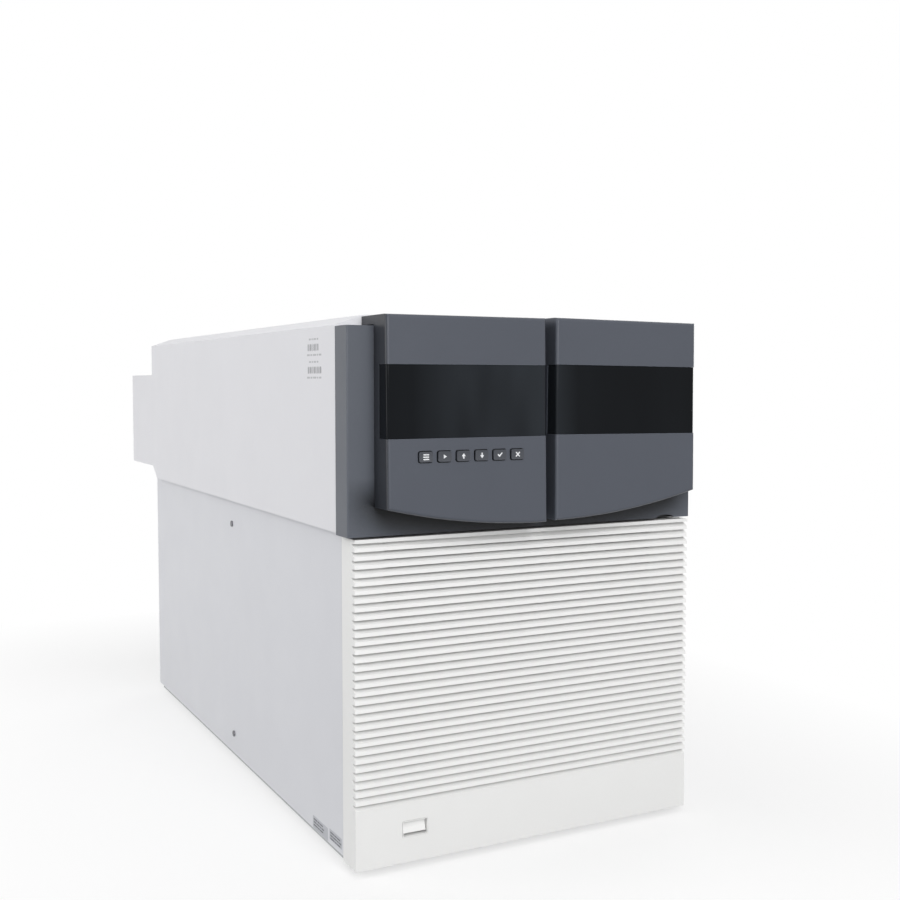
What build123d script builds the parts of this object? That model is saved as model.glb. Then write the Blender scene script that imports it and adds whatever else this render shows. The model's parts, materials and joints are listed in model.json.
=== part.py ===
"""Bench-top triple-quadrupole mass spectrometer for a gas chromatograph.

Frame: +Z up, the front faces -Y, +X is to the right as seen from the front.
Origin: middle of the bounding box, on the surface that the feet stand on.
The lower body has a louvred front and plain side panels. The upper body holds
the vacuum manifold with the analyzer, and is closed by covers, a grey front
moulding and two raised panels. All lengths are in millimetres, angles in degrees.
"""

import math
import os

from build123d import *

# ---------------------------------------------------------------- driving sizes
cover_width = 350.0  # over the upper covers
line_reach = 45.0  # transfer line beyond the right-hand covers
fit_gap = 0.3  # between neighbouring casings
tiny = 0.1  # play of a press or screw fit

# lower body
foot_height = 5.0
foot_radius = 13.0
foot_inset = 34.0
cover_overhang = 7.0  # upper covers stand out past the lower body
grille_height = 279.0
grille_depth = 28.0
lower_depth = 684.0  # from the louvred front to the rear edge of the side panels
sheet = 1.5
pan_flange = 34.0
panel_ground_gap = 4.0  # side panels end this much above the pan
panel_lap = 8.0  # side panels run up behind the upper covers

screw_inset = 343.0  # screws from the louvred front
screw_low = 25.5  # lower pair above the pan
screw_below_deck = 23.0  # upper pair below the louvred front's top
screw_radius = 2.0
screw_head = 3.2
screw_head_height = 1.2
screw_grip = 4.0
screw_slot = (0.8, 0.7)  # width and depth

# louvred front
louvre_pitch = 7.1
louvre_depth = 5.6
louvre_slot = 1.4
louvre_slope_rise = 2.6
louvre_rake = 0.5
louvre_end_left = 29.0  # plain ends of the slots
louvre_end_right = 41.0
top_lip = 3.1
band_height = 45.0
grille_wall = 2.4
band_wall = 3.0
band_return = 8.0  # plain side returns end this much below the last slot
stiffener_width = 2.0
stiffener_depth = 10.0
stiffener_count = 4

# power switch
switch_width = 22.5
switch_height = 12.6
switch_from_left = 55.0
switch_centre_height = 28.8
switch_frame = 0.75
switch_corner = 1.0
rocker_clearance = 0.9
rocker_side_gap = 0.5
rocker_recess = 3.2
rocker_dip = 0.6  # hollow of the pressed face
rocker_back = 4.5  # rear of the rocker from its pivot
rocker_waist = (1.6, 1.5, 0.8)  # half height at the rear, shoulder depth, shoulder step
rocker_edge = 0.5
rocker_pivot_depth = 4.0
rocker_swing = 20.0
trunnion_radius = 1.5
trunnion_length = 0.9  # beyond the opening
housing_flange = 3.0
housing_depth = 17.0
housing_floor = 5.0
running_gap = 0.05

# grey front moulding and raised panels
bezel_gap = 2.3  # shadow gap above the louvred front
bezel_depth = 25.4
bezel_wall = 3.0
bezel_corner = 1.2
bezel_top_drop = 10.0
apron_proud = 2.0  # moulding stands this much in front of the louvres
panel_stand_off = 29.5  # lowest front edge of the raised panels to the louvres
panel_lean = 3.5
panel_top_drop = 1.5
panel_inset_left = 24.0  # from the cover's outer face
panel_inset_right = 15.0
panel_gap = 9.5  # vertical groove between the two panels
panel_wall = 2.5
panel_edge = 2.6  # softened front edges
panel_inner_edge = 0.4
panel_arc_sagitta = 22.0
panel_arc_drop = 6.8  # lowest point of the arc above the moulding's lower edge
panel_arc_offset = 8.7  # lowest point left of the panels' middle
panel_droop = 0.6  # right-hand panel hangs this much out of level
window_low = 81.4  # above the moulding's lower edge
window_high = 141.9
window_wrap = 17.0
window_recess = 0.5
window_play = 0.15
finger_slot_width = 20.0
finger_slot_height = 3.0
finger_slot_from_right = 18.0
wiring_window = (56.0, 78.0)
wiring_pitch = 74.0
wiring_lift = 8.0  # wiring windows above the moulding's middle

# keys
key_count = 6
key_pitch = 17.3
key_width = 12.4
key_height = 8.8
key_corner = 1.6
key_edge = 0.6
key_dish = 0.3  # depth of the hollow in a key's face
key_lap = 1.2  # flange beyond the cap
key_first = 34.0  # centre of the first key from the panel's left edge
key_above = 66.4  # key centres above the moulding's lower edge
key_proud = 2.0
key_travel = 1.0
key_play = 0.7
key_flange = 1.0
key_flange_gap = 0.35
key_stem_radius = 2.5
board_thickness = 1.6
board_setback = 14.0
board_margin = 7.0  # board beyond its posts
post_radius = 3.5
post_inset = 14.0
post_offset = 12.0  # lower posts below the keys
post_above_window = 8.0
connector_size = (30.0, 7.0, 6.0)
connector_place = (40.0, 20.0)  # from the panel's left edge, above the keys
display_width = 96.0
display_height = 30.0
display_thickness = 7.0
display_border = (7.0, 5.0)
display_step = 1.0

# upper covers
skin = 2.0
cover_depth = 676.0  # rear edge of the upper covers, from the louvred front
cover_front = 23.4
cover_rise = 4.0  # lower edge of the upper covers above the louvred front
shoulder_drop = 9.0
shoulder_run = 25.0
cover_top_lap = 12.0
heel_run = 21.0  # sloped lower rear corner
cover_flange = 14.0  # top flange of the right-hand cover
cowl_room = 2.5  # round the manifold
cowl_rear_room = 31.5
cowl_wall = 2.5
cowl_round = 5.0
rear_panel_setback = 13.0  # rear panel inside the lower body's rear edge
rear_sheet = 2.0
connector_plate_width = 118.0
connector_plate_height = 62.0
connector_plate_from_left = 32.0

# vacuum manifold and analyzer
deck_drop = 2.0
manifold_lift = 20.5
manifold_width = 178.0
manifold_height = 110.0
manifold_wall = 12.0
manifold_corner = 3.0
manifold_from_left = 62.0
manifold_headroom = 52.0  # manifold to the top of the covers
manifold_foot_radius = 7.0
foot_edge = (20.0, 16.0, 40.0)  # cast feet from the sides, the front and the rear panel
bay_partition = 30.0
bay_start = 4.0  # ahead of the front bracket
front_bay_end = 16.5  # behind the front quadrupole
rear_bay_end = 18.0  # behind the detector
bay_corner = 8.0
plate_thickness = 12.0
plate_corner = 6.0
plate_gap = 2.0  # between the two side plates
plate_pocket = (90.0, 36.0, 3.0, 5.0)  # shorter than the plate, height, depth, corner
seal_width = 3.4
seal_depth = 2.4
seal_edge = 4.0
analyzer_half = 22.0
bracket_thickness = 3.0
bracket_lead = 4.0  # front bracket ahead of the ion source
bracket_lip = 14.0
bracket_shelf = 6.0  # shelf beyond the analyzer
ion_path_radius = 6.0
source_bore = 10.0
source_pocket = (14.0, 18.0, 12.0)
filament_radius = 2.5
source_length = 40.0
source_gap = 0.5
lens_bore = 3.0
lens_plate_gap = 1.2
lens_plate_rim = 5.0
quad_core = 16.0
quad_pole = (5.0, 9.0)
quad_corner = 6.0
cell_bore = 9.0
cell_cap = 6.0
cell_cap_bore = 2.5
cell_stub = (3.0, 12.0)
horn = (4.0, 11.0, 24.0)
detector_stub = (9.0, 6.0)
lens_length = 12.0
front_quad_length = 205.0
cell_length = 124.0
rear_quad_length = 132.0
detector_length = 42.0
analyzer_gap = 3.0

# turbomolecular pump
turbo_from_front = 250.0
turbo_radius = 52.0
turbo_wall = 8.0
turbo_flange_radius = 60.0
turbo_flange_height = 12.0
turbo_length = 150.0
turbo_step = 6.0  # smaller foot of the pump body
turbo_floor = 22.0
turbo_play = 2.0  # pump body in the deck
shaft_seat = 8.0  # lower bearing above the pump's foot
bearing_depth = 40.0
rotor_length = 130.0
rotor_gap = 3.0
blade_sink = 2.0  # blades reach this far into their hub
turbo_shaft_radius = 6.0
turbo_hub_radius = 18.0
turbo_stages = 3
turbo_blades = 14
turbo_blade = (2.0, 10.0, 35.0)  # thickness, chord, pitch angle
turbo_stage_pitch = 28.0
turbo_first_stage = 14.0  # above the floor
hub_lead = 6.0
foreline_lift = 15.0  # above the pump's foot
foreline_inset = 10.0
nipple_radius = 8.0
nipple_bore = 6.0
nipple_length = 22.0
hose_wall = 3.0
hose_end_gap = 3.0

# transfer line
line_from_front = 140.0
line_radius = 6.0
line_bore = 2.0
line_flange_radius = 24.0
line_flange = 8.0
line_tip = (4.0, 2.0)  # length and step of the tapered tip
line_tip_gap = 5.0  # tip to the ion path
port_play = 4.0
sleeve_radius = 14.0
sleeve_gap = 8.0  # sleeve to the column nut
sleeve_play = 2.0
sleeve_chamfer = 1.5
nut_across_flats = 11.0
nut_length = 12.0
nut_collar = (4.0, 1.5)  # length, step below the flats
nut_bore = 0.6

# rear fittings
fan_size = 80.0
fan_depth = 25.0
fan_blades = 7
fan_blade = (2.0, 17.0, 48.0)  # thickness, chord, pitch angle
fan_hub_radius = 18.0
fan_rim = 2.0
fan_corner = 4.0
fan_eye_inset = 4.5
fan_eye_radius = 2.1
fan_arm = 5.0
fan_spider = 4.0
fan_running_gap = 1.0  # rotor to the spider
fan_pin = (3.0, 12.0)
fan_tip_gap = 1.5
fan_from_right = 65.0
fan_above_pan = 115.0
guard_wire = 1.5
guard_rings = 4
guard_thickness = 2.0
guard_eye = 4.0
inlet_size = (27.0, 20.0)
inlet_from_left = 60.0
inlet_depth = 25.0
inlet_flange = (50.0, 24.0, 3.0, 5.0)  # width, height, thickness, corner
cavity_size = (24.2, 16.2)
cavity_depth = 16.0
inlet_pin = (2.0, 4.0, 10.0)
inlet_pins = ((-7.0, -1.5), (0.0, 2.5), (7.0, -1.5))
port_size = (16.4, 13.6)
port_from_left = 120.0
port_depth = 18.0
port_rim = (2.0, 1.0)  # width and thickness
jack_size = (11.8, 8.2)
jack_depth = 13.0
sockets_above_pan = 70.0
spigot_radius = 6.35
spigot_bore = 4.0
spigot_reach = 25.0
spigot_inner = 18.0
spigot_collar = (4.0, 5.0)  # step and thickness
spigot_step = 2.0
barb_body_radius = 9.0
gas_tube_radius = 1.59
gas_fitting_flats = 12.0
gas_fitting_runs = (8.0, 7.0)  # lengths of the two hexagons
gas_thread_radius = 4.5
gas_thread = 8.0  # inside the cowl
gas_reach = 31.7
gas_from_left = 110.0
vial_radius = 9.0
vial_length = 36.0
vial_wall = 1.5
vial_neck = (2.2, 4.0)  # shoulder step, step of the bore
vial_boss_wall = 3.0
vial_boss_height = 24.0
vial_from_left = 40.0
vial_socket = 10.0
vial_headroom = 2.0  # above the vial's mouth
vent_from_bay = 24.0
vent_above_axis = 34.0
vent_thread = 6.0
vent_flange = 10.0
vent_flange_depth = 6.0
vent_shaft = 3.0
knob_radius = 13.0
knob_length = 14.0
knob_flutes = 8
knob_flute_radius = 3.0

# electronics
board_inset = 25.0
board_front = 45.0
board_length = 300.0
board_gap = 14.0  # board to power supply
stud_height = 8.0
stud_radius = 4.0
stud_inset = 8.0
# blocks on the board: place from its corner, width, length, height
board_blocks = (
    (60.0, 60.0, 44.0, 44.0, 6.0),
    (140.0, 70.0, 30.0, 30.0, 4.0),
    (200.0, 60.0, 50.0, 70.0, 22.0),
    (70.0, 170.0, 60.0, 40.0, 18.0),
    (160.0, 180.0, 36.0, 36.0, 5.0),
    (225.0, 190.0, 26.0, 80.0, 12.0),
    (60.0, 250.0, 70.0, 24.0, 14.0),
)
driver_gap = 32.0  # to the manifold
driver_height = 118.0
driver_length = 190.0
driver_start = 40.0  # behind the transfer line
driver_spacing = 40.0
driver_side_gap = 5.0
driver_corner = 3.0
driver_fins = 8
driver_slot = (3.0, 8.0)
supply_size = (150.0, 200.0, 84.0)
supply_inset = 14.0
supply_slot = (100.0, 5.0)
supply_slot_pitch = 16.0
supply_slots = 9
bulkhead_window = (58.0, 34.0)
bulkhead_pitch = (76.0, 44.0)
bulkhead_columns = 4
bulkhead_rows = 5
deck_flange = 34.0
side_flange = 10.0
passage_gap = 2.0

# ---------------------------------------------------------------- datum planes
x_cover = -(cover_width + line_reach) / 2
x_left = x_cover + cover_overhang
x_right = x_cover + cover_width
x_tip = x_right + line_reach
module_width = x_right - x_left
x_middle = (x_left + x_right) / 2

z_pan = foot_height
z_split = z_pan + grille_height
z_bezel = z_split + bezel_gap
z_cover = z_split + cover_rise
z_deck = z_split + deck_drop  # underside of the deck
z_deck_top = z_deck + sheet
z_manifold = z_deck_top + manifold_lift
z_manifold_top = z_manifold + manifold_height
z_axis = (z_manifold + z_manifold_top) / 2
z_top = z_manifold_top + manifold_headroom
z_shoulder = z_top - shoulder_drop
z_bezel_top = z_top - bezel_top_drop
z_panel_top = z_top - panel_top_drop
z_cowl = z_manifold - cowl_room - cowl_wall
z_cowl_top = z_manifold_top + cowl_room + cowl_wall
z_arc_low = z_bezel + panel_arc_drop  # lowest point of the raised panels
z_key = z_bezel + key_above


def panel_lean_at(height):
    """How far the raised panels' face has leaned back at a height."""
    return panel_lean * (height - z_arc_low) / (z_panel_top - z_arc_low)


# the key caps are the foremost faces; the ion path sets the depth behind the louvres
key_overhang = max(0.0, key_proud - panel_lean_at(z_key))
front_run = source_length / 2 + source_gap + lens_length + analyzer_gap + front_quad_length
rear_run = cell_length + rear_quad_length + detector_length + 3 * analyzer_gap
bays_end = front_run + front_bay_end + bay_partition + rear_run + rear_bay_end
depth_to_cowl_end = line_from_front + bays_end + manifold_wall + cowl_rear_room + cowl_wall
overall_depth = key_overhang + panel_stand_off + depth_to_cowl_end + gas_reach

y_panel = -overall_depth / 2 + key_overhang
y_grille = y_panel + panel_stand_off
y_apron = y_grille - apron_proud
y_side = y_grille + grille_depth
y_cover = y_grille + cover_front
y_cover_end = y_grille + cover_depth
y_body_end = y_grille + lower_depth
y_rear = y_body_end - rear_panel_setback
y_rear_inner = y_rear - rear_sheet
y_cowl_end = y_grille + depth_to_cowl_end
y_tip = y_cowl_end + gas_reach

x_manifold = x_left + manifold_from_left
x_manifold_end = x_manifold + manifold_width
x_axis = x_manifold + manifold_width / 2
x_plate = x_manifold - plate_thickness

y_line = y_grille + line_from_front
y_source = y_line - source_length / 2
y_lens = y_source + source_length + source_gap
y_front_quad = y_lens + lens_length + analyzer_gap
y_bay_front = y_source - bracket_lead - bay_start
y_manifold = y_bay_front - manifold_wall
y_bay_front_end = y_front_quad + front_quad_length + front_bay_end
y_bay_rear = y_bay_front_end + bay_partition
y_cell = y_bay_rear + analyzer_gap
y_rear_quad = y_cell + cell_length + analyzer_gap
y_detector = y_rear_quad + rear_quad_length + analyzer_gap
y_bay_rear_end = y_detector + detector_length + rear_bay_end
y_manifold_end = y_bay_rear_end + manifold_wall

screw_heights = (screw_low, grille_height - screw_below_deck)


along = (Align.CENTER, Align.CENTER, Align.MIN)  # a cylinder from its own base onwards


def box_between(low, high, mode=Mode.ADD):
    """Adds or cuts a box given by its lowest and highest corners."""
    size = [b - a for a, b in zip(low, high)]
    middle = [(a + b) / 2 for a, b in zip(low, high)]
    with Locations(tuple(middle)):
        Box(*size, mode=mode)


def cut_screw_holes(height):
    """Cuts both flanges of a part where a side panel's screws pass."""
    with Locations(Location((x_middle, y_grille + screw_inset, z_pan + height), (0, 90, 0))):
        Cylinder(screw_radius + tiny, module_width, mode=Mode.SUBTRACT)


def bent_sheet(plane, outline, thickness, length):
    """A folded sheet: its outer line, drawn clockwise, run along the plane's normal."""
    with BuildPart() as folded:
        with BuildSketch(plane):
            with BuildLine():
                Polyline(*outline)
                offset(amount=thickness, side=Side.RIGHT, kind=Kind.INTERSECTION)
            make_face()
        extrude(amount=length)
    return folded.part


# ---------------------------------------------------------------- lower body
x_pan = x_left + sheet + fit_gap
x_pan_end = x_right - sheet - fit_gap
y_pan = y_side + fit_gap
pan_size = (x_pan_end - x_pan, y_rear - y_pan)
pan_middle = ((x_pan + x_pan_end) / 2, (y_pan + y_rear) / 2)
board_low = (x_pan + board_inset, y_pan + board_front)
board_high = (x_pan_end - board_inset, board_low[1] + board_length)
stud_places = [
    (x, y)
    for x in (board_low[0] + stud_inset, board_high[0] - stud_inset)
    for y in (board_low[1] + stud_inset, board_high[1] - stud_inset)
]

with BuildPart() as base_pan:
    with BuildSketch(Plane.XY.offset(z_pan)):
        with Locations(pan_middle):
            Rectangle(*pan_size)
    extrude(amount=pan_flange)
    offset(amount=-sheet, openings=base_pan.faces().sort_by(Axis.Z)[-1])
    cut_screw_holes(screw_heights[0])
    # studs that carry the main board
    with BuildSketch(Plane.XY.offset(z_pan + sheet)):
        with Locations(*stud_places):
            Circle(stud_radius)
    extrude(amount=stud_height)

with BuildPart() as feet:
    with BuildSketch(Plane.XY):
        with Locations(pan_middle):
            with GridLocations(pan_size[0] - 2 * foot_inset, pan_size[1] - 2 * foot_inset, 2, 2):
                Circle(foot_radius)
    extrude(amount=foot_height)
    chamfer(feet.edges().filter_by(GeomType.CIRCLE).group_by(Axis.Z)[0], 1.0)

deck_low = (x_pan, y_pan + sheet, z_deck)
deck_high = (x_pan_end, y_rear_inner, z_deck_top)
x_turbo = x_axis
y_turbo = y_grille + turbo_from_front
turbo_passage = turbo_radius + turbo_play

with BuildPart() as mid_deck:
    box_between(deck_low, deck_high)
    for x in (x_pan, x_pan_end - sheet):
        box_between(
            (x, deck_low[1], z_deck - deck_flange), (x + sheet, deck_high[1], z_deck)
        )
    with Locations((x_turbo, y_turbo, z_deck)):
        Cylinder(turbo_passage, 4 * sheet, mode=Mode.SUBTRACT)
    cut_screw_holes(screw_heights[1])

with BuildPart() as front_bulkhead:
    with BuildSketch(Plane.XZ.offset(-y_pan)):
        with Locations(((x_pan + x_pan_end) / 2, (z_pan + pan_flange + z_deck_top) / 2)):
            Rectangle(pan_size[0], z_deck_top - z_pan - pan_flange - 2 * fit_gap)
            # cooling air goes through these windows
            with GridLocations(*bulkhead_pitch, bulkhead_columns, bulkhead_rows):
                Rectangle(*bulkhead_window, mode=Mode.SUBTRACT)
    extrude(amount=-sheet)

x_fan = x_right - fan_from_right
z_fan = z_pan + fan_above_pan
fan_bore = fan_size / 2 - fan_rim
z_foreline = z_manifold - turbo_length + foreline_lift
inlet_place = (x_left + inlet_from_left, z_pan + sockets_above_pan)
port_place = (x_left + port_from_left, z_pan + sockets_above_pan)
rear_low = z_pan + pan_flange + fit_gap
x_rear_end = x_right - skin - fit_gap
x_connectors = x_left + connector_plate_from_left

with BuildPart() as rear_panel:
    with BuildSketch(Plane.XZ.offset(-y_rear)):
        with Locations(((x_pan + x_rear_end) / 2, (rear_low + z_shoulder) / 2)):
            Rectangle(x_rear_end - x_pan, z_shoulder - rear_low)
        with Locations((x_fan, z_fan)):
            Circle(fan_bore, mode=Mode.SUBTRACT)
        # notch that the connector plate fills
        with Locations((x_connectors - fit_gap, rear_low)):
            Rectangle(
                connector_plate_width + 2 * fit_gap,
                connector_plate_height + fit_gap,
                align=Align.MIN,
                mode=Mode.SUBTRACT,
            )
        with Locations((x_turbo, z_foreline)):
            Circle(barb_body_radius + fit_gap, mode=Mode.SUBTRACT)
        # the manifold runs through here into the rear cowl
        with Locations(((x_plate + x_manifold_end) / 2, z_axis)):
            Rectangle(
                x_manifold_end - x_plate + 2 * passage_gap,
                manifold_height + 2 * passage_gap,
                mode=Mode.SUBTRACT,
            )
    extrude(amount=rear_sheet)

with BuildPart() as connector_plate:
    with BuildSketch(Plane.XZ.offset(-y_rear)):
        with Locations((x_connectors, rear_low)):
            Rectangle(connector_plate_width, connector_plate_height, align=Align.MIN)
        with Locations(inlet_place):
            Rectangle(*(s + 2 * fit_gap for s in inlet_size), mode=Mode.SUBTRACT)
        with Locations(port_place):
            Rectangle(*(s + 2 * fit_gap for s in port_size), mode=Mode.SUBTRACT)
    extrude(amount=rear_sheet)

panel_low = z_pan + panel_ground_gap


def side_panel(x_outer, inward, panel_high):
    """A flat side panel with its rear edge folded inwards."""
    with BuildPart() as made:
        with BuildSketch(Plane.YZ.offset(x_outer)):
            with Locations(((y_side + fit_gap + y_body_end) / 2, (panel_low + panel_high) / 2)):
                Rectangle(y_body_end - y_side - fit_gap, panel_high - panel_low)
            for height in screw_heights:
                with Locations((y_grille + screw_inset, z_pan + height)):
                    Circle(screw_radius + 2 * tiny, mode=Mode.SUBTRACT)
        extrude(amount=inward * sheet)
        low, high = sorted((x_outer, x_outer + inward * side_flange))
        box_between((low, y_body_end - sheet, panel_low), (high, y_body_end, panel_high))
        fillet(made.edges().filter_by(Axis.Z).sort_by(Axis.Y)[-1:], 0.6)
    return made


side_panel_left = side_panel(x_left, 1, z_split + panel_lap)
side_panel_right = side_panel(x_right, -1, z_cover - fit_gap)

with BuildPart() as panel_screws:
    for x, outward in ((x_left, -1), (x_right, 1)):
        for height in screw_heights:
            place = Plane(
                origin=(x, y_grille + screw_inset, z_pan + height), z_dir=(outward, 0, 0)
            )
            with BuildSketch(place):
                Circle(screw_head)
            extrude(amount=screw_head_height)
            with BuildSketch(place):
                Circle(screw_radius)
            extrude(amount=-sheet - screw_grip)
            with BuildSketch(place.offset(screw_head_height)):
                Rectangle(3 * screw_head, screw_slot[0])
            extrude(amount=-screw_slot[1], mode=Mode.SUBTRACT)

# ---------------------------------------------------------------- louvred front
louvre_room = grille_height - top_lip - band_height - louvre_slot - louvre_slope_rise
louvre_count = int(louvre_room / louvre_pitch) + 1
z_first_lip = z_split - top_lip
z_last_lip = z_first_lip - (louvre_count - 1) * louvre_pitch
y_groove = y_grille + louvre_depth
y_grille_back = y_groove + grille_wall


def louvre_outline():
    """Side view of the louvred front: a blade's nose, undercut, slot and next slope."""
    points = [(y_grille, z_pan)]
    for k in reversed(range(louvre_count)):
        lip = z_first_lip - k * louvre_pitch
        foot = lip - louvre_slot
        points += [
            (y_grille + louvre_rake, foot - louvre_slope_rise),
            (y_groove, foot),
            (y_groove, lip),
            (y_grille, lip),
        ]
    band_top = z_last_lip - louvre_slot - louvre_slope_rise
    points += [
        (y_grille, z_split),
        (y_grille_back, z_split),
        (y_grille_back, band_top),
        (y_grille + band_wall, band_top - louvre_depth),
        (y_grille + band_wall, z_pan),
    ]
    return points


slot_length = module_width - louvre_end_left - louvre_end_right
x_slots = x_left + louvre_end_left + slot_length / 2
x_switch = x_left + switch_from_left
z_switch = z_pan + switch_centre_height

with BuildPart() as front_grille:
    with BuildSketch(Plane.YZ.offset(x_left)):
        with BuildLine():
            Polyline(*louvre_outline(), close=True)
        make_face()
    extrude(amount=module_width)
    # returns that carry the front on the lower body
    with BuildSketch(Plane.XZ.offset(-y_groove)):
        with Locations((x_middle, z_pan + grille_height / 2)):
            Rectangle(module_width, grille_height)
            Rectangle(
                module_width - 2 * grille_wall,
                grille_height - 2 * grille_wall,
                mode=Mode.SUBTRACT,
            )
    extrude(amount=-(y_side - y_groove))
    for x in (x_left, x_right - grille_wall):
        box_between(
            (x, y_grille + louvre_rake, z_pan),
            (x + grille_wall, y_groove, z_last_lip - band_return),
        )
    # stiffeners behind the blades
    with BuildSketch(Plane.XZ.offset(-y_grille_back)):
        with Locations((x_slots, (z_last_lip + z_split - band_return) / 2)):
            with GridLocations(slot_length / (stiffener_count + 1), 1, stiffener_count, 1):
                Rectangle(stiffener_width, z_split - z_last_lip + band_return)
    extrude(amount=-stiffener_depth)
    # air slots under every blade but the first
    with BuildSketch(Plane.XZ.offset(-y_groove + 0.01)):
        for k in range(1, louvre_count):
            lip = z_first_lip - k * louvre_pitch
            with Locations((x_slots, lip - louvre_slot / 2)):
                Rectangle(slot_length, louvre_slot)
    extrude(amount=-(grille_wall + 0.02), mode=Mode.SUBTRACT)
    # opening of the power switch
    with BuildSketch(Plane.XZ.offset(-y_grille)):
        with Locations((x_switch, z_switch)):
            RectangleRounded(
                switch_width + 2 * (switch_frame + 2 * tiny),
                switch_height + 2 * (switch_frame + 2 * tiny),
                switch_corner + 2 * tiny,
            )
    extrude(amount=-band_wall, mode=Mode.SUBTRACT)

y_pivot = y_grille + rocker_recess + rocker_pivot_depth
y_housing = y_grille + tiny

with BuildPart() as switch_housing:
    with BuildSketch(Plane.XZ.offset(-y_housing)):
        with Locations((x_switch, z_switch)):
            RectangleRounded(
                switch_width + 2 * switch_frame, switch_height + 2 * switch_frame, switch_corner
            )
    extrude(amount=-(band_wall + housing_depth))
    with BuildSketch(Plane.XZ.offset(-(y_housing + band_wall))):
        with Locations((x_switch, z_switch)):
            Rectangle(
                switch_width + 2 * (switch_frame + housing_flange),
                switch_height + 2 * (switch_frame + housing_flange),
            )
    extrude(amount=-housing_depth)
    with BuildSketch(Plane.XZ.offset(-y_housing)):
        with Locations((x_switch, z_switch)):
            Rectangle(switch_width, switch_height)
    extrude(amount=-(band_wall + housing_depth - housing_floor), mode=Mode.SUBTRACT)
    with Locations(Location((x_switch, y_pivot, z_switch), (0, 90, 0))):
        Cylinder(
            trunnion_radius + running_gap,
            switch_width + 2 * (trunnion_length + fit_gap),
            mode=Mode.SUBTRACT,
        )

rocker_half = switch_height / 2 - rocker_clearance
rocker_nose = rocker_pivot_depth
rear_half, shoulder_depth, shoulder_step = rocker_waist

with BuildPart() as level_rocker:
    # drawn level about its pivot, then tipped to the position it rests in
    with BuildSketch(Plane.YZ):
        with BuildLine():
            Polyline(
                (-rocker_nose, -rocker_half),
                (-rocker_nose + rocker_dip, 0),
                (-rocker_nose, rocker_half),
                (shoulder_depth, rocker_half - shoulder_step),
                (rocker_back, rear_half),
                (rocker_back, -rear_half),
                (shoulder_depth, -rocker_half + shoulder_step),
                close=True,
            )
        make_face()
    extrude(amount=switch_width / 2 - rocker_side_gap, both=True)
    fillet(level_rocker.edges().filter_by(Axis.X).group_by(Axis.Y)[0], rocker_edge)
    with Locations(Location((0, 0, 0), (0, 90, 0))):
        Cylinder(trunnion_radius, switch_width + 2 * trunnion_length)
tipped = level_rocker.part.rotate(Axis.X, -rocker_swing / 2)
with BuildPart() as power_rocker:
    add(tipped.moved(Location((x_switch, y_pivot, z_switch))))

# ---------------------------------------------------------------- front moulding
x_bezel_middle = (x_cover + x_right) / 2
x_panel = x_cover + panel_inset_left
x_panel_end = x_right - panel_inset_right
panel_width = (x_panel_end - x_panel - panel_gap) / 2
y_bezel_back = y_cover - fit_gap

with BuildPart() as front_bezel:
    with BuildSketch(Plane.XY.offset(z_bezel)):
        with Locations((x_bezel_middle, (y_apron + y_bezel_back) / 2)):
            Rectangle(cover_width, y_bezel_back - y_apron)
    extrude(amount=z_bezel_top - z_bezel)
    front_corners = front_bezel.edges().filter_by(Axis.Z).group_by(Axis.Y)[0]
    fillet(front_corners, bezel_corner)
    offset(amount=-bezel_wall, openings=front_bezel.faces().sort_by(Axis.Y)[-1])
    # wiring windows behind the raised panels
    with BuildSketch(Plane.XZ.offset(-y_apron)):
        with Locations(
            ((x_panel + x_panel_end) / 2, (z_bezel + z_bezel_top) / 2 + wiring_lift)
        ):
            with GridLocations(wiring_pitch, 1, 4, 1):
                Rectangle(*wiring_window)
    extrude(amount=-bezel_wall, mode=Mode.SUBTRACT)
    # finger slot under the apron
    with BuildSketch(Plane.XZ.offset(-y_apron)):
        with Locations((x_right - finger_slot_from_right - finger_slot_width / 2, z_bezel)):
            Ellipse(finger_slot_width / 2, finger_slot_height)
    extrude(amount=-2 * bezel_wall, mode=Mode.SUBTRACT)

arc_half = (x_panel_end - x_panel) / 2 + panel_arc_offset
lip_gap = fit_gap + panel_width / 2 * math.sin(math.radians(panel_droop))
z_lip = z_bezel_top + lip_gap
x_arc = (x_panel + x_panel_end) / 2 - panel_arc_offset


def raised_form(x_from, x_to, inset, back):
    """Solid form of a raised panel; inset shrinks it, back says where it ends."""
    z_mid = z_arc_low + inset
    low, high = z_mid + panel_arc_sagitta, z_panel_top - inset
    with BuildPart() as form:
        with BuildSketch(Plane.YZ.offset(x_from + inset)):
            with BuildLine():
                Polyline(
                    (y_panel + inset, z_mid),
                    (y_panel + panel_lean + inset, high),
                    (back, high),
                    (back, z_lip - 2 * inset),
                    (y_apron - fit_gap + 2 * inset, z_lip - 2 * inset),
                    (y_apron - fit_gap + 2 * inset, z_mid),
                    close=True,
                )
            make_face()
        extrude(amount=x_to - x_from - 2 * inset)
        with BuildSketch(Plane.XZ.offset(-y_panel + panel_wall)):
            with BuildLine():
                ThreePointArc((x_arc - arc_half, low), (x_arc, z_mid), (x_arc + arc_half, low))
                Polyline(
                    (x_arc + arc_half, low),
                    (x_arc + arc_half, high + panel_wall),
                    (x_arc - arc_half, high + panel_wall),
                    (x_arc - arc_half, low),
                )
            make_face()
        extrude(amount=-2 * (panel_stand_off + bezel_depth), mode=Mode.INTERSECT)
        edges = form.faces().sort_by(Axis.Y)[0].edges()
        fillet(edges, max(panel_edge - inset, panel_inner_edge))
    return form.part


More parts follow.
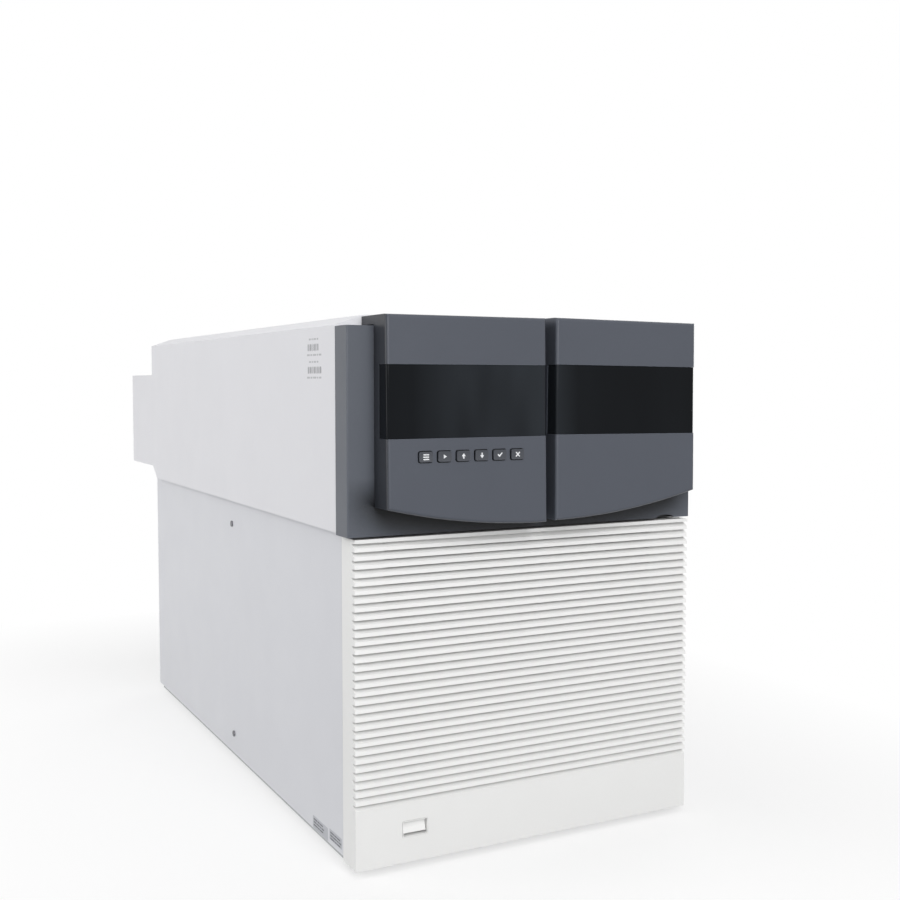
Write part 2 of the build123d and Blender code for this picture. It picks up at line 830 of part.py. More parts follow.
def panel_shell(x_from, x_to):
    """Hollow raised panel, open behind, with a band cut out for its window."""
    back = y_bezel_back
    outer = raised_form(x_from, x_to, 0, back)
    inner = raised_form(x_from, x_to, panel_wall, back - panel_wall)
    with BuildPart() as shell:
        add(outer)
        add(inner, mode=Mode.SUBTRACT)
        box_between(
            (x_from - fit_gap, y_panel - fit_gap, z_bezel + window_low),
            (x_to + fit_gap, y_panel + window_wrap, z_bezel + window_high),
            mode=Mode.SUBTRACT,
        )
    return shell.part


def window_band(x_from, x_to):
    """Smoked window that fills the band and wraps both flanks of its panel."""
    back = y_bezel_back
    outer = raised_form(x_from, x_to, window_recess, back)
    inner = raised_form(x_from, x_to, panel_wall, back - panel_wall)
    with BuildPart() as band:
        add(outer)
        add(inner, mode=Mode.SUBTRACT)
        box_between(
            (x_from, y_panel, z_bezel + window_low + window_play),
            (x_to, y_panel + window_wrap - window_play, z_bezel + window_high - window_play),
            mode=Mode.INTERSECT,
        )
    return band.part


x_left_panel_end = x_panel + panel_width
x_right_panel = x_panel_end - panel_width
y_key_face = y_panel + panel_lean_at(z_key)
y_board = y_panel + board_setback
x_keys = [x_panel + key_first + n * key_pitch for n in range(key_count)]
z_posts = (z_key - post_offset, z_bezel + window_high + post_above_window)
x_posts = (x_panel + post_inset, x_left_panel_end - post_inset)

left_shell = panel_shell(x_panel, x_left_panel_end)
right_shell = panel_shell(x_right_panel, x_panel_end)
left_band = window_band(x_panel, x_left_panel_end)
right_band = window_band(x_right_panel, x_panel_end)
droop_axis = Axis(
    ((x_right_panel + x_panel_end) / 2, y_panel, (z_arc_low + z_panel_top) / 2), (0, 1, 0)
)

with BuildPart() as control_panel:
    add(left_shell)
    # posts that carry the key board, rooted halfway into the panel's wall
    for z_post in z_posts:
        with BuildSketch(Plane.XZ.offset(-y_board)):
            with Locations(*((x, z_post) for x in x_posts)):
                Circle(post_radius)
        extrude(amount=board_setback - panel_lean_at(z_post) - panel_wall / 2)
    # openings for the keys
    with BuildSketch(Plane.XZ.offset(-y_panel + panel_wall)):
        for x in x_keys:
            with Locations((x, z_key)):
                RectangleRounded(
                    key_width + 2 * key_play, key_height + 2 * key_play, key_corner + key_play
                )
    extrude(amount=-(panel_stand_off / 2), mode=Mode.SUBTRACT)

with BuildPart() as window_panel:
    add(right_shell.rotate(droop_axis, panel_droop))

with BuildPart() as window_left:
    add(left_band)

with BuildPart() as window_right:
    add(right_band.rotate(droop_axis, panel_droop))


def make_key(x):
    """A key: dished cap through the panel, a flange that keeps it in, a stem to its switch."""
    y_cap = y_key_face - key_proud
    y_inner = y_key_face + panel_wall + key_flange_gap
    dish_radius = key_height**2 / (8 * key_dish) + key_dish / 2
    with BuildPart() as key:
        with BuildSketch(Plane.XZ.offset(-y_cap)):
            with Locations((x, z_key)):
                RectangleRounded(key_width, key_height, key_corner)
        extrude(amount=-(y_inner + key_flange - y_cap))
        fillet(key.faces().sort_by(Axis.Y)[0].edges(), key_edge)
        with Locations(Location((x, y_cap + key_dish - dish_radius, z_key), (0, 90, 0))):
            Cylinder(dish_radius, 2 * key_width, mode=Mode.SUBTRACT)
        with BuildSketch(Plane.XZ.offset(-y_inner)):
            with Locations((x, z_key)):
                RectangleRounded(key_width + 2 * key_lap, key_height + 2 * key_lap, key_corner)
        extrude(amount=-key_flange)
        with BuildSketch(Plane.XZ.offset(-y_inner)):
            with Locations((x, z_key)):
                Circle(key_stem_radius)
        extrude(amount=-(y_board - y_inner - key_travel - fit_gap))
    return key


keys = [make_key(x) for x in x_keys]

with BuildPart() as keypad_board:
    with BuildSketch(Plane.XZ.offset(-y_board)):
        low = (x_posts[0] - board_margin, z_posts[0] - board_margin)
        high = (x_posts[1] + board_margin, z_posts[1] + board_margin)
        with Locations(((low[0] + high[0]) / 2, (low[1] + high[1]) / 2)):
            Rectangle(high[0] - low[0], high[1] - low[1])
    extrude(amount=-board_thickness)
    # connector to the main board
    with BuildSketch(Plane.XZ.offset(-(y_board + board_thickness))):
        with Locations((x_panel + connector_place[0], z_key + connector_place[1])):
            Rectangle(*connector_size[:2])
    extrude(amount=-connector_size[2])

z_display = z_bezel + (window_low + window_high) / 2
x_display = (x_panel + x_left_panel_end) / 2
with BuildPart() as display_module:
    with BuildSketch(Plane.XZ.offset(-y_board)):
        with Locations((x_display, z_display)):
            Rectangle(display_width, display_height)
    extrude(amount=display_thickness)
    with BuildSketch(Plane.XZ.offset(-(y_board - display_thickness))):
        with Locations((x_display, z_display)):
            Rectangle(display_width - 2 * display_border[0], display_height - 2 * display_border[1])
    extrude(amount=-display_step, mode=Mode.SUBTRACT)

# ---------------------------------------------------------------- upper covers
x_shoulder = x_cover + shoulder_run
x_seam = x_shoulder + cover_top_lap
x_gas, z_gas = x_cover + gas_from_left, z_axis

left_sheet = bent_sheet(
    Plane.XZ.offset(-y_cover_end),
    [
        (x_left - fit_gap, z_cover),
        (x_cover, z_cover),
        (x_cover, z_shoulder),
        (x_shoulder, z_top),
        (x_seam, z_top),
    ],
    skin,
    y_cover_end - y_cover,
)
with BuildPart() as left_cover:
    add(left_sheet)
    # front end of the shoulder, closed above the moulding
    with BuildSketch(Plane.XZ.offset(-y_cover)):
        with BuildLine():
            Polyline(
                (x_cover, z_shoulder),
                (x_shoulder, z_top),
                (x_shoulder, z_shoulder),
                close=True,
            )
        make_face()
    extrude(amount=-skin)
    # rear wall above the cowl
    with BuildSketch(Plane.XZ.offset(-y_cover_end)):
        with BuildLine():
            Polyline(
                (x_cover, z_cowl_top + fit_gap),
                (x_cover, z_shoulder),
                (x_shoulder, z_top),
                (x_seam, z_top),
                (x_seam, z_cowl_top + fit_gap),
                close=True,
            )
        make_face()
    extrude(amount=skin)
    # sloped heel at the lower rear corner
    with BuildSketch(Plane.YZ.offset(x_cover)):
        with BuildLine():
            Polyline(
                (y_cover_end - heel_run, z_cover),
                (y_cover_end, z_cover),
                (y_cover_end, z_cowl),
                close=True,
            )
        make_face()
    extrude(amount=cover_overhang, mode=Mode.SUBTRACT)

sleeve_passage = sleeve_radius + sleeve_play

y_right_end = y_cover_end - skin - fit_gap
right_sheet = bent_sheet(
    Plane.XZ.offset(-y_right_end),
    [
        (x_right - cover_flange, z_top - skin - fit_gap),
        (x_right, z_top - skin - fit_gap),
        (x_right, z_cover),
    ],
    skin,
    y_right_end - y_cover,
)
with BuildPart() as right_cover:
    add(right_sheet)
    with Locations(Location((x_right, y_line, z_axis), (0, 90, 0))):
        Cylinder(sleeve_passage, 4 * skin, mode=Mode.SUBTRACT)

top_sheet = bent_sheet(
    Plane.YZ.offset(x_seam + fit_gap),
    [(y_cover, z_top), (y_cover_end, z_top), (y_cover_end, z_cowl_top + fit_gap)],
    skin,
    x_right - x_seam - fit_gap,
)
with BuildPart() as top_cover:
    add(top_sheet)

with BuildPart() as rear_cowl:
    with BuildSketch(Plane.XZ.offset(-(y_cover_end + fit_gap))):
        with Locations((x_bezel_middle, (z_cowl + z_cowl_top) / 2)):
            Rectangle(cover_width, z_cowl_top - z_cowl)
    extrude(amount=-(y_cowl_end - y_cover_end - fit_gap))
    far = rear_cowl.faces().sort_by(Axis.Y)[-1].edges()
    fillet(far, cowl_round)
    offset(amount=-cowl_wall, openings=rear_cowl.faces().sort_by(Axis.Y)[0])
    # passage of the gas fitting
    with Locations(Location((x_gas, y_cowl_end, z_gas), (90, 0, 0))):
        Cylinder(gas_thread_radius + 2 * tiny, 4 * cowl_wall, mode=Mode.SUBTRACT)

# ---------------------------------------------------------------- vacuum manifold
foot_places = [
    (x, y)
    for x in (x_manifold + foot_edge[0], x_manifold_end - foot_edge[0])
    for y in (y_manifold + foot_edge[1], y_rear - foot_edge[2])
]
turbo_port = turbo_radius - turbo_wall
bays = ((y_bay_front, y_bay_front_end), (y_bay_rear, y_bay_rear_end))
port_radius = line_radius + port_play
z_bay, z_bay_top = z_manifold + manifold_wall, z_manifold_top - manifold_wall

vial_boss = vial_radius + vial_boss_wall
x_vial, y_vial = x_manifold + vial_from_left, y_manifold - vial_boss

with BuildPart() as vacuum_manifold:
    box_between(
        (x_manifold, y_manifold, z_manifold), (x_manifold_end, y_manifold_end, z_manifold_top)
    )
    fillet(vacuum_manifold.edges().filter_by(Axis.Y), manifold_corner)
    # the two bays are open towards the side plates
    for low, high in bays:
        with BuildSketch(Plane.YZ.offset(x_manifold)):
            with Locations(((low + high) / 2, z_axis)):
                RectangleRounded(high - low, z_bay_top - z_bay, bay_corner)
        extrude(amount=manifold_width - manifold_wall, mode=Mode.SUBTRACT)
        # seal groove round the bay
        with BuildSketch(Plane.YZ.offset(x_manifold)):
            with Locations(((low + high) / 2, z_axis)):
                for grow, mode in (
                    (seal_edge + seal_width, Mode.ADD),
                    (seal_edge, Mode.SUBTRACT),
                ):
                    RectangleRounded(
                        high - low + 2 * grow,
                        z_bay_top - z_bay + 2 * grow,
                        bay_corner + grow / 2,
                        mode=mode,
                    )
        extrude(amount=seal_depth + tiny, mode=Mode.SUBTRACT)
    # ion path through the partition, pump port below, transfer line port at the right
    with Locations(Location((x_axis, (y_bay_front_end + y_bay_rear) / 2, z_axis), (90, 0, 0))):
        Cylinder(ion_path_radius, 2 * bay_partition, mode=Mode.SUBTRACT)
    with Locations((x_turbo, y_turbo, z_manifold)):
        Cylinder(turbo_port, 3 * manifold_wall, mode=Mode.SUBTRACT)
    with Locations(Location((x_manifold_end, y_line, z_axis), (0, 90, 0))):
        Cylinder(port_radius, 3 * manifold_wall, mode=Mode.SUBTRACT)
    # boss on the front face for the calibrant vial
    box_between(
        (x_vial - vial_boss, y_manifold - 2 * vial_boss, z_axis),
        (x_vial + vial_boss, y_manifold, z_axis + vial_boss_height),
    )
    with Locations((x_vial, y_vial, z_axis)):
        Cylinder(
            vial_radius - vial_neck[0] + fit_gap, vial_socket, align=along, mode=Mode.SUBTRACT
        )
    # cast feet on the deck
    with BuildSketch(Plane.XY.offset(z_deck_top)):
        with Locations(*foot_places):
            Circle(manifold_foot_radius)
    extrude(amount=manifold_lift)

with BuildPart() as side_plate_seals:
    for low, high in bays:
        with BuildSketch(Plane.YZ.offset(x_manifold)):
            with Locations(((low + high) / 2, z_axis)):
                for grow, mode in (
                    (seal_edge + seal_width - tiny, Mode.ADD),
                    (seal_edge + tiny, Mode.SUBTRACT),
                ):
                    RectangleRounded(
                        high - low + 2 * grow,
                        z_bay_top - z_bay + 2 * grow,
                        bay_corner + grow / 2,
                        mode=mode,
                    )
        extrude(amount=seal_depth)

y_partition = (y_bay_front_end + y_bay_rear) / 2
vent_place = (y_bay_front + vent_from_bay, z_axis + vent_above_axis)
plate_spans = (
    (y_manifold, y_partition - plate_gap / 2),
    (y_partition + plate_gap / 2, y_manifold_end),
)


def side_plate(span):
    """Aluminium plate that closes one bay, with a long pocket in its outer face."""
    shorter, pocket_height, pocket_depth, pocket_corner = plate_pocket
    with BuildPart() as plate:
        with BuildSketch(Plane.YZ.offset(x_manifold)):
            with Locations(((span[0] + span[1]) / 2, z_axis)):
                RectangleRounded(span[1] - span[0], manifold_height - plate_gap, plate_corner)
        extrude(amount=-plate_thickness)
        with BuildSketch(Plane.YZ.offset(x_plate)):
            with Locations(((span[0] + span[1]) / 2, z_axis)):
                RectangleRounded(span[1] - span[0] - shorter, pocket_height, pocket_corner)
        extrude(amount=pocket_depth, mode=Mode.SUBTRACT)
    return plate.part


front_blank, rear_blank = (side_plate(span) for span in plate_spans)
with BuildPart() as front_side_plate:
    add(front_blank)
    with Locations(Location((x_plate, vent_place[0], vent_place[1]), (0, 90, 0))):
        Cylinder(vent_thread, 3 * plate_thickness, mode=Mode.SUBTRACT)
with BuildPart() as rear_side_plate:
    add(rear_blank)

# ---------------------------------------------------------------- analyzer
z_seat = z_axis - analyzer_half - fit_gap
x_seat_end = x_axis + analyzer_half + bracket_shelf


def analyzer_bracket(low, high):
    """Angle bracket on a side plate; the analyzer's sections stand on its shelf."""
    with BuildPart() as bracket:
        with BuildSketch(Plane.XZ.offset(-high)):
            with BuildLine():
                Polyline(
                    (x_manifold, z_seat + bracket_lip),
                    (x_manifold, z_seat - bracket_thickness),
                    (x_seat_end, z_seat - bracket_thickness),
                    (x_seat_end, z_seat),
                    (x_manifold + bracket_thickness, z_seat),
                    (x_manifold + bracket_thickness, z_seat + bracket_lip),
                    close=True,
                )
            make_face()
        extrude(amount=high - low)
    return bracket.part


def quadrupole(y_start, length):
    """Four hyperbolic pole faces inside one square quartz body."""
    with BuildPart() as body:
        with BuildSketch(Plane.XZ.offset(-y_start)):
            with Locations((x_axis, z_axis)):
                RectangleRounded(2 * analyzer_half, 2 * analyzer_half, quad_corner)
                Circle(quad_core, mode=Mode.SUBTRACT)
                with PolarLocations(quad_core - 1.0, 4):
                    Ellipse(*quad_pole)
        extrude(amount=-length)
    return body.part


def ring_section(y_start, length, bore):
    """A round section of the analyzer with a bore along the ion path."""
    with BuildPart() as body:
        with BuildSketch(Plane.XZ.offset(-y_start)):
            with Locations((x_axis, z_axis)):
                Circle(analyzer_half)
                Circle(bore, mode=Mode.SUBTRACT)
        extrude(amount=-length)
    return body.part


source_body = ring_section(y_source, source_length, source_bore)
lens_body = ring_section(y_lens, lens_length, lens_bore)
cell_body = ring_section(y_cell, cell_length, cell_bore)
front_quad_body = quadrupole(y_front_quad, front_quad_length)
rear_quad_body = quadrupole(y_rear_quad, rear_quad_length)
front_bracket_body = analyzer_bracket(
    y_source - bracket_lead, y_front_quad + front_quad_length
)
rear_bracket_body = analyzer_bracket(y_cell, y_detector + detector_length)

with BuildPart() as ion_source:
    add(source_body)
    # filament pocket on top and the port where the transfer line's tip enters
    with Locations((x_axis, y_line, z_axis + analyzer_half)):
        Box(*source_pocket, mode=Mode.SUBTRACT)
    with Locations(Location((x_axis + analyzer_half, y_line, z_axis), (0, 90, 0))):
        Cylinder(line_radius + fit_gap, 2 * analyzer_half, mode=Mode.SUBTRACT)
    with Locations((x_axis, y_line, z_axis + source_bore + filament_radius / 2)):
        Cylinder(filament_radius, analyzer_half - source_bore, align=along)

with BuildPart() as lens_stack:
    add(lens_body)
    # the gaps between the stacked lens plates
    for step in (1 / 3, 2 / 3):
        with BuildSketch(Plane.XZ.offset(-(y_lens + step * lens_length))):
            with Locations((x_axis, z_axis)):
                Circle(analyzer_half + fit_gap)
                Circle(analyzer_half - lens_plate_rim, mode=Mode.SUBTRACT)
        extrude(amount=-lens_plate_gap, mode=Mode.SUBTRACT)

with BuildPart() as front_quadrupole:
    add(front_quad_body)
with BuildPart() as rear_quadrupole:
    add(rear_quad_body)

with BuildPart() as collision_cell:
    add(cell_body)
    # gas inlet stub and the caps at both ends
    with Locations((x_axis, y_cell + cell_length / 2, z_axis + analyzer_half)):
        Cylinder(*cell_stub)
    for y_cap in (y_cell, y_cell + cell_length - cell_cap):
        with BuildSketch(Plane.XZ.offset(-y_cap)):
            with Locations((x_axis, z_axis)):
                Circle(analyzer_half)
                Circle(cell_cap_bore, mode=Mode.SUBTRACT)
        extrude(amount=-cell_cap)

with BuildPart() as analyzer_brackets:
    add(front_bracket_body)
    add(rear_bracket_body)

with BuildPart() as detector:
    box_between(
        (x_axis - analyzer_half, y_detector, z_seat + fit_gap),
        (x_axis + analyzer_half, y_detector + detector_length, z_axis + analyzer_half),
    )
    # ion entrance and the horn of the multiplier
    with Locations(Location((x_axis, y_detector, z_axis), (90, 0, 0))):
        Cone(*horn, mode=Mode.SUBTRACT)
    with BuildSketch(Plane.XZ.offset(-(y_detector + detector_length))):
        with Locations((x_axis, z_axis)):
            Circle(detector_stub[0])
    extrude(amount=-detector_stub[1])

# ---------------------------------------------------------------- transfer line
sleeve_end = x_tip - nut_length - sleeve_gap
x_line_tip = x_axis + ion_path_radius + line_tip_gap
x_sleeve = x_manifold_end + line_flange

with BuildPart() as transfer_line:
    with BuildSketch(Plane.XY.offset(z_axis)):
        with BuildLine():
            Polyline(
                (x_line_tip, y_line + line_bore),
                (x_line_tip, y_line + line_radius - line_tip[1]),
                (x_line_tip + line_tip[0], y_line + line_radius),
                (x_manifold_end, y_line + line_radius),
                (x_manifold_end, y_line + line_flange_radius),
                (x_sleeve, y_line + line_flange_radius),
                (x_sleeve, y_line + line_radius),
                (x_tip - nut_length, y_line + line_radius),
                (x_tip - nut_length, y_line + line_bore),
                close=True,
            )
        make_face()
    revolve(axis=Axis((0, y_line, z_axis), (1, 0, 0)))

with BuildPart() as heater_sleeve:
    with BuildSketch(Plane.YZ.offset(x_sleeve)):
        with Locations((y_line, z_axis)):
            Circle(sleeve_radius)
            Circle(line_radius + tiny, mode=Mode.SUBTRACT)
    extrude(amount=sleeve_end - x_sleeve)
    chamfer(
        heater_sleeve.edges().group_by(Axis.X)[-1].sort_by(SortBy.RADIUS)[-1], sleeve_chamfer
    )

with BuildPart() as column_nut:
    with BuildSketch(Plane.YZ.offset(x_tip - nut_length)):
        with Locations((y_line, z_axis)):
            RegularPolygon(nut_across_flats / 2, 6, major_radius=False)
    extrude(amount=nut_length - nut_collar[0])
    with BuildSketch(Plane.YZ.offset(x_tip - nut_collar[0])):
        with Locations((y_line, z_axis)):
            Circle(nut_across_flats / 2 - nut_collar[1])
    extrude(amount=nut_collar[0])
    with Locations(Location((x_tip, y_line, z_axis), (0, 90, 0))):
        Cylinder(nut_bore, 4 * nut_length, mode=Mode.SUBTRACT)

# ---------------------------------------------------------------- turbo pump
z_turbo = z_manifold - turbo_length
z_shaft_low = z_turbo + shaft_seat
z_first_stage = z_turbo + turbo_floor + turbo_first_stage
foreline_tap = turbo_port - foreline_inset

with BuildPart() as turbo_body:
    with BuildSketch(Plane.XZ.offset(-y_turbo)):
        with BuildLine():
            Polyline(
                (x_turbo, z_turbo),
                (x_turbo + turbo_radius - turbo_step, z_turbo),
                (x_turbo + turbo_radius - turbo_step, z_turbo + turbo_step),
                (x_turbo + turbo_radius, z_turbo + turbo_step),
                (x_turbo + turbo_radius, z_manifold - turbo_flange_height),
                (x_turbo + turbo_flange_radius, z_manifold - turbo_flange_height),
                (x_turbo + turbo_flange_radius, z_manifold),
                (x_turbo + turbo_port, z_manifold),
                (x_turbo + turbo_port, z_turbo + turbo_floor),
                (x_turbo, z_turbo + turbo_floor),
                close=True,
            )
        make_face()
    revolve(axis=Axis((x_turbo, y_turbo, 0), (0, 0, 1)))
    # foreline nipple, to the rear, fed from the floor of the rotor's cavity
    y_nipple = y_turbo + turbo_radius - turbo_step
    with Locations(Location((x_turbo, y_nipple, z_foreline), (-90, 0, 0))):
        Cylinder(nipple_radius, nipple_length + turbo_step, align=along)
    with Locations(Location((x_turbo, y_turbo + foreline_tap, z_foreline), (-90, 0, 0))):
        Cylinder(nipple_bore, turbo_radius + nipple_length, align=along, mode=Mode.SUBTRACT)
    with Locations((x_turbo, y_turbo + foreline_tap, z_foreline)):
        Cylinder(nipple_bore - 1, turbo_floor, align=along, mode=Mode.SUBTRACT)
    # lower bearing of the rotor
    with Locations((x_turbo, y_turbo, z_shaft_low)):
        Cylinder(
            turbo_shaft_radius + running_gap, bearing_depth, align=along, mode=Mode.SUBTRACT
        )

with BuildPart() as turbo_rotor:
    with Locations((x_turbo, y_turbo, z_shaft_low + 2 * tiny)):
        Cylinder(turbo_shaft_radius, rotor_length, align=along)
    with Locations((x_turbo, y_turbo, z_first_stage - hub_lead)):
        Cylinder(turbo_hub_radius, turbo_stages * turbo_stage_pitch, align=along)
    chamfer(turbo_rotor.edges().group_by(Axis.Z)[-1], 1.0)
    blade_root = turbo_hub_radius - blade_sink
    blade_end = turbo_port - rotor_gap
    blade_thickness, blade_chord, blade_pitch = turbo_blade
    for stage in range(turbo_stages):
        z_stage = z_first_stage + stage * turbo_stage_pitch + hub_lead
        with Locations((x_turbo, y_turbo, z_stage)):
            with PolarLocations((blade_root + blade_end) / 2, turbo_blades):
                Box(
                    blade_end - blade_root,
                    blade_thickness,
                    blade_chord,
                    rotation=(blade_pitch, 0, 0),
                )

y_hose_start = y_turbo + turbo_radius + 1.0
y_spigot_inner = y_rear_inner - spigot_inner

with BuildPart() as foreline_hose:
    with BuildSketch(Plane.XZ.offset(-y_hose_start)):
        with Locations((x_turbo, z_foreline)):
            Circle(nipple_radius + running_gap + hose_wall)
            Circle(nipple_radius + running_gap, mode=Mode.SUBTRACT)
    extrude(amount=-(y_rear_inner - hose_end_gap - y_hose_start))

collar_step, collar_thickness = spigot_collar

with BuildPart() as exhaust_spigot:
    with BuildSketch(Plane.YZ.offset(x_turbo)):
        with BuildLine():
            Polyline(
                (y_spigot_inner, z_foreline + spigot_bore),
                (y_spigot_inner, z_foreline + nipple_radius),
                (y_rear_inner - spigot_step, z_foreline + nipple_radius),
                (y_rear_inner - spigot_step, z_foreline + barb_body_radius),
                (y_rear, z_foreline + barb_body_radius),
                (y_rear, z_foreline + barb_body_radius + collar_step),
                (y_rear + collar_thickness, z_foreline + barb_body_radius + collar_step),
                (y_rear + collar_thickness, z_foreline + spigot_radius),
                (y_rear + spigot_reach - 1, z_foreline + spigot_radius),
                (y_rear + spigot_reach, z_foreline + spigot_radius - 1),
                (y_rear + spigot_reach, z_foreline + spigot_bore),
                close=True,
            )
        make_face()
    revolve(axis=Axis((x_turbo, 0, z_foreline), (0, 1, 0)))

# ---------------------------------------------------------------- vent valve, vial
vent_y, vent_z = vent_place

with BuildPart() as vent_valve:
    with Locations(Location((x_plate, vent_y, vent_z), (0, 90, 0))):
        Cylinder(vent_thread - tiny, plate_thickness - 1, align=along)
    with Locations(Location((x_plate, vent_y, vent_z), (0, -90, 0))):
        Cylinder(vent_flange, vent_flange_depth, align=along)
        Cylinder(vent_shaft + running_gap, vent_flange_depth, align=along, mode=Mode.SUBTRACT)

with BuildPart() as vent_knob:
    knob_back = x_plate - vent_flange_depth - 2 * tiny
    with BuildSketch(Plane.YZ.offset(knob_back)):
        with Locations((vent_y, vent_z)):
            Circle(knob_radius)
            with PolarLocations(knob_radius + 0.4 * knob_flute_radius, knob_flutes):
                Circle(knob_flute_radius, mode=Mode.SUBTRACT)
    extrude(amount=-knob_length)
    chamfer(vent_knob.faces().sort_by(Axis.X)[0].edges(), 0.8)
    with Locations(Location((knob_back, vent_y, vent_z), (0, 90, 0))):
        Cylinder(vent_shaft, vent_flange_depth, align=along)

x_vial_side = x_vial + vial_radius
z_vial = z_axis - vial_length
z_neck = z_axis - 2 * vial_wall
z_mouth = z_axis + vial_socket - vial_headroom
neck_step, bore_step = vial_neck

with BuildPart() as calibration_vial:
    with BuildSketch(Plane.XZ.offset(-y_vial)):
        with BuildLine():
            Polyline(
                (x_vial, z_vial),
                (x_vial_side - 1, z_vial),
                (x_vial_side, z_vial + 1),
                (x_vial_side, z_neck - 2 * vial_wall),
                (x_vial_side - neck_step, z_neck),
                (x_vial_side - neck_step, z_mouth),
                (x_vial_side - bore_step, z_mouth),
                (x_vial_side - bore_step, z_neck - 1),
                (x_vial_side - vial_wall, z_neck - 1 - 2 * vial_wall),
                (x_vial_side - vial_wall, z_vial + vial_wall),
                (x_vial, z_vial + vial_wall),
                close=True,
            )
        make_face()
    revolve(axis=Axis((x_vial, y_vial, 0), (0, 0, 1)))

# ---------------------------------------------------------------- electronics
x_driver = x_manifold_end + driver_gap
driver_width = x_right - skin - driver_side_gap - x_driver


def rf_driver(y_start):
    """Radio-frequency driver: a finned metal box on the deck, beside the manifold."""
    with BuildPart() as driver:
        box_between(
            (x_driver, y_start, z_deck_top),
            (x_driver + driver_width, y_start + driver_length, z_deck_top + driver_height),
        )
        fillet(driver.edges().filter_by(Axis.Z), driver_corner)
        top = z_deck_top + driver_height
        with BuildSketch(Plane.XZ.offset(-y_start)):
            with Locations((x_driver + driver_width / 2, top)):
                with GridLocations(driver_width / driver_fins, 1, driver_fins - 1, 1):
                    Rectangle(driver_slot[0], 2 * driver_slot[1])
        extrude(amount=-driver_length, mode=Mode.SUBTRACT)
    return driver.part


y_driver = y_line + driver_start
front_driver = rf_driver(y_driver)
rear_driver = rf_driver(y_driver + driver_length + driver_spacing)
with BuildPart() as rf_driver_front:
    add(front_driver)
with BuildPart() as rf_driver_rear:
    add(rear_driver)

x_supply, y_supply = x_pan + supply_inset, board_high[1] + board_gap
z_sheet = z_pan + sheet
with BuildPart() as power_supply:
    with BuildSketch(Plane.XY.offset(z_sheet)):
        with Locations((x_supply + supply_size[0] / 2, y_supply + supply_size[1] / 2)):
            Rectangle(supply_size[0], supply_size[1])
    extrude(amount=supply_size[2])
    offset(amount=-sheet, openings=power_supply.faces().sort_by(Axis.Z)[0])
    # air slots in the lid
    with BuildSketch(Plane.XY.offset(z_sheet + supply_size[2])):
        with Locations((x_supply + supply_size[0] / 2, y_supply + supply_size[1] / 2)):
            with GridLocations(1, supply_slot_pitch, 1, supply_slots):
                SlotOverall(*supply_slot)
    extrude(amount=-sheet, mode=Mode.SUBTRACT)

z_board = z_sheet + stud_height
with BuildPart() as main_board:
    box_between(
        (board_low[0], board_low[1], z_board),
        (board_high[0], board_high[1], z_board + board_thickness),
    )
    for dx, dy, width, length, height in board_blocks:
        with Locations((board_low[0] + dx, board_low[1] + dy, z_board + board_thickness)):
            Box(width, length, height, align=along)

# ---------------------------------------------------------------- rear fittings
y_fan = y_rear_inner - fan_depth
fan_hole_pitch = fan_size - 2 * fan_eye_inset
y_spider = y_fan + fan_spider

with BuildPart() as fan_frame:
    with BuildSketch(Plane.XZ.offset(-y_fan)):
        with Locations((x_fan, z_fan)):
            RectangleRounded(fan_size, fan_size, fan_corner)
            Circle(fan_bore, mode=Mode.SUBTRACT)
            with GridLocations(fan_hole_pitch, fan_hole_pitch, 2, 2):
                Circle(fan_eye_radius, mode=Mode.SUBTRACT)
    extrude(amount=-fan_depth)
    # spider with the motor hub
    with BuildSketch(Plane.XZ.offset(-y_fan)):
        with Locations((x_fan, z_fan)):
            Circle(fan_hub_radius)
            Rectangle(2 * fan_bore + fan_rim, fan_arm)
            Rectangle(fan_arm, 2 * fan_bore + fan_rim)
    extrude(amount=-fan_spider)
    with Locations(Location((x_fan, y_spider, z_fan), (-90, 0, 0))):
        Cylinder(*fan_pin, align=along)

with BuildPart() as fan_rotor:
    with BuildSketch(Plane.XZ.offset(-(y_spider + fan_running_gap))):
        with Locations((x_fan, z_fan)):
            Circle(fan_hub_radius)
            Circle(fan_pin[0] + running_gap, mode=Mode.SUBTRACT)
    hub_length = fan_depth - 2 * fan_spider
    extrude(amount=-hub_length)
    root, tip = fan_hub_radius - blade_sink, fan_bore - fan_tip_gap
    thickness, chord, pitch = fan_blade
    for n in range(fan_blades):
        y_blade = y_spider + fan_running_gap + hub_length / 2
        with Locations(Location((x_fan, y_blade, z_fan), (0, n * 360 / fan_blades, 0))):
            with Locations(((root + tip) / 2, 0, 0)):
                Box(tip - root, thickness, chord, rotation=(pitch, 0, 0))

with BuildPart() as fan_guard:
    with BuildSketch(Plane.XZ.offset(-y_rear)):
        with Locations((x_fan, z_fan)):
            for n in range(1, guard_rings + 1):
                radius = n * (fan_bore - guard_wire) / guard_rings
                Circle(radius + guard_wire / 2)
                Circle(radius - guard_wire / 2, mode=Mode.SUBTRACT)
            # four spokes run out to the eyes
            inner = fan_bore / guard_rings - guard_wire
            outer = fan_hole_pitch / math.sqrt(2) - (guard_eye + fan_eye_radius) / 2
            with PolarLocations((inner + outer) / 2, 4, start_angle=45):
                Rectangle(outer - inner, guard_wire)
            with GridLocations(fan_hole_pitch, fan_hole_pitch, 2, 2):
                Circle(guard_eye)
                Circle(fan_eye_radius, mode=Mode.SUBTRACT)
    extrude(amount=-guard_thickness)

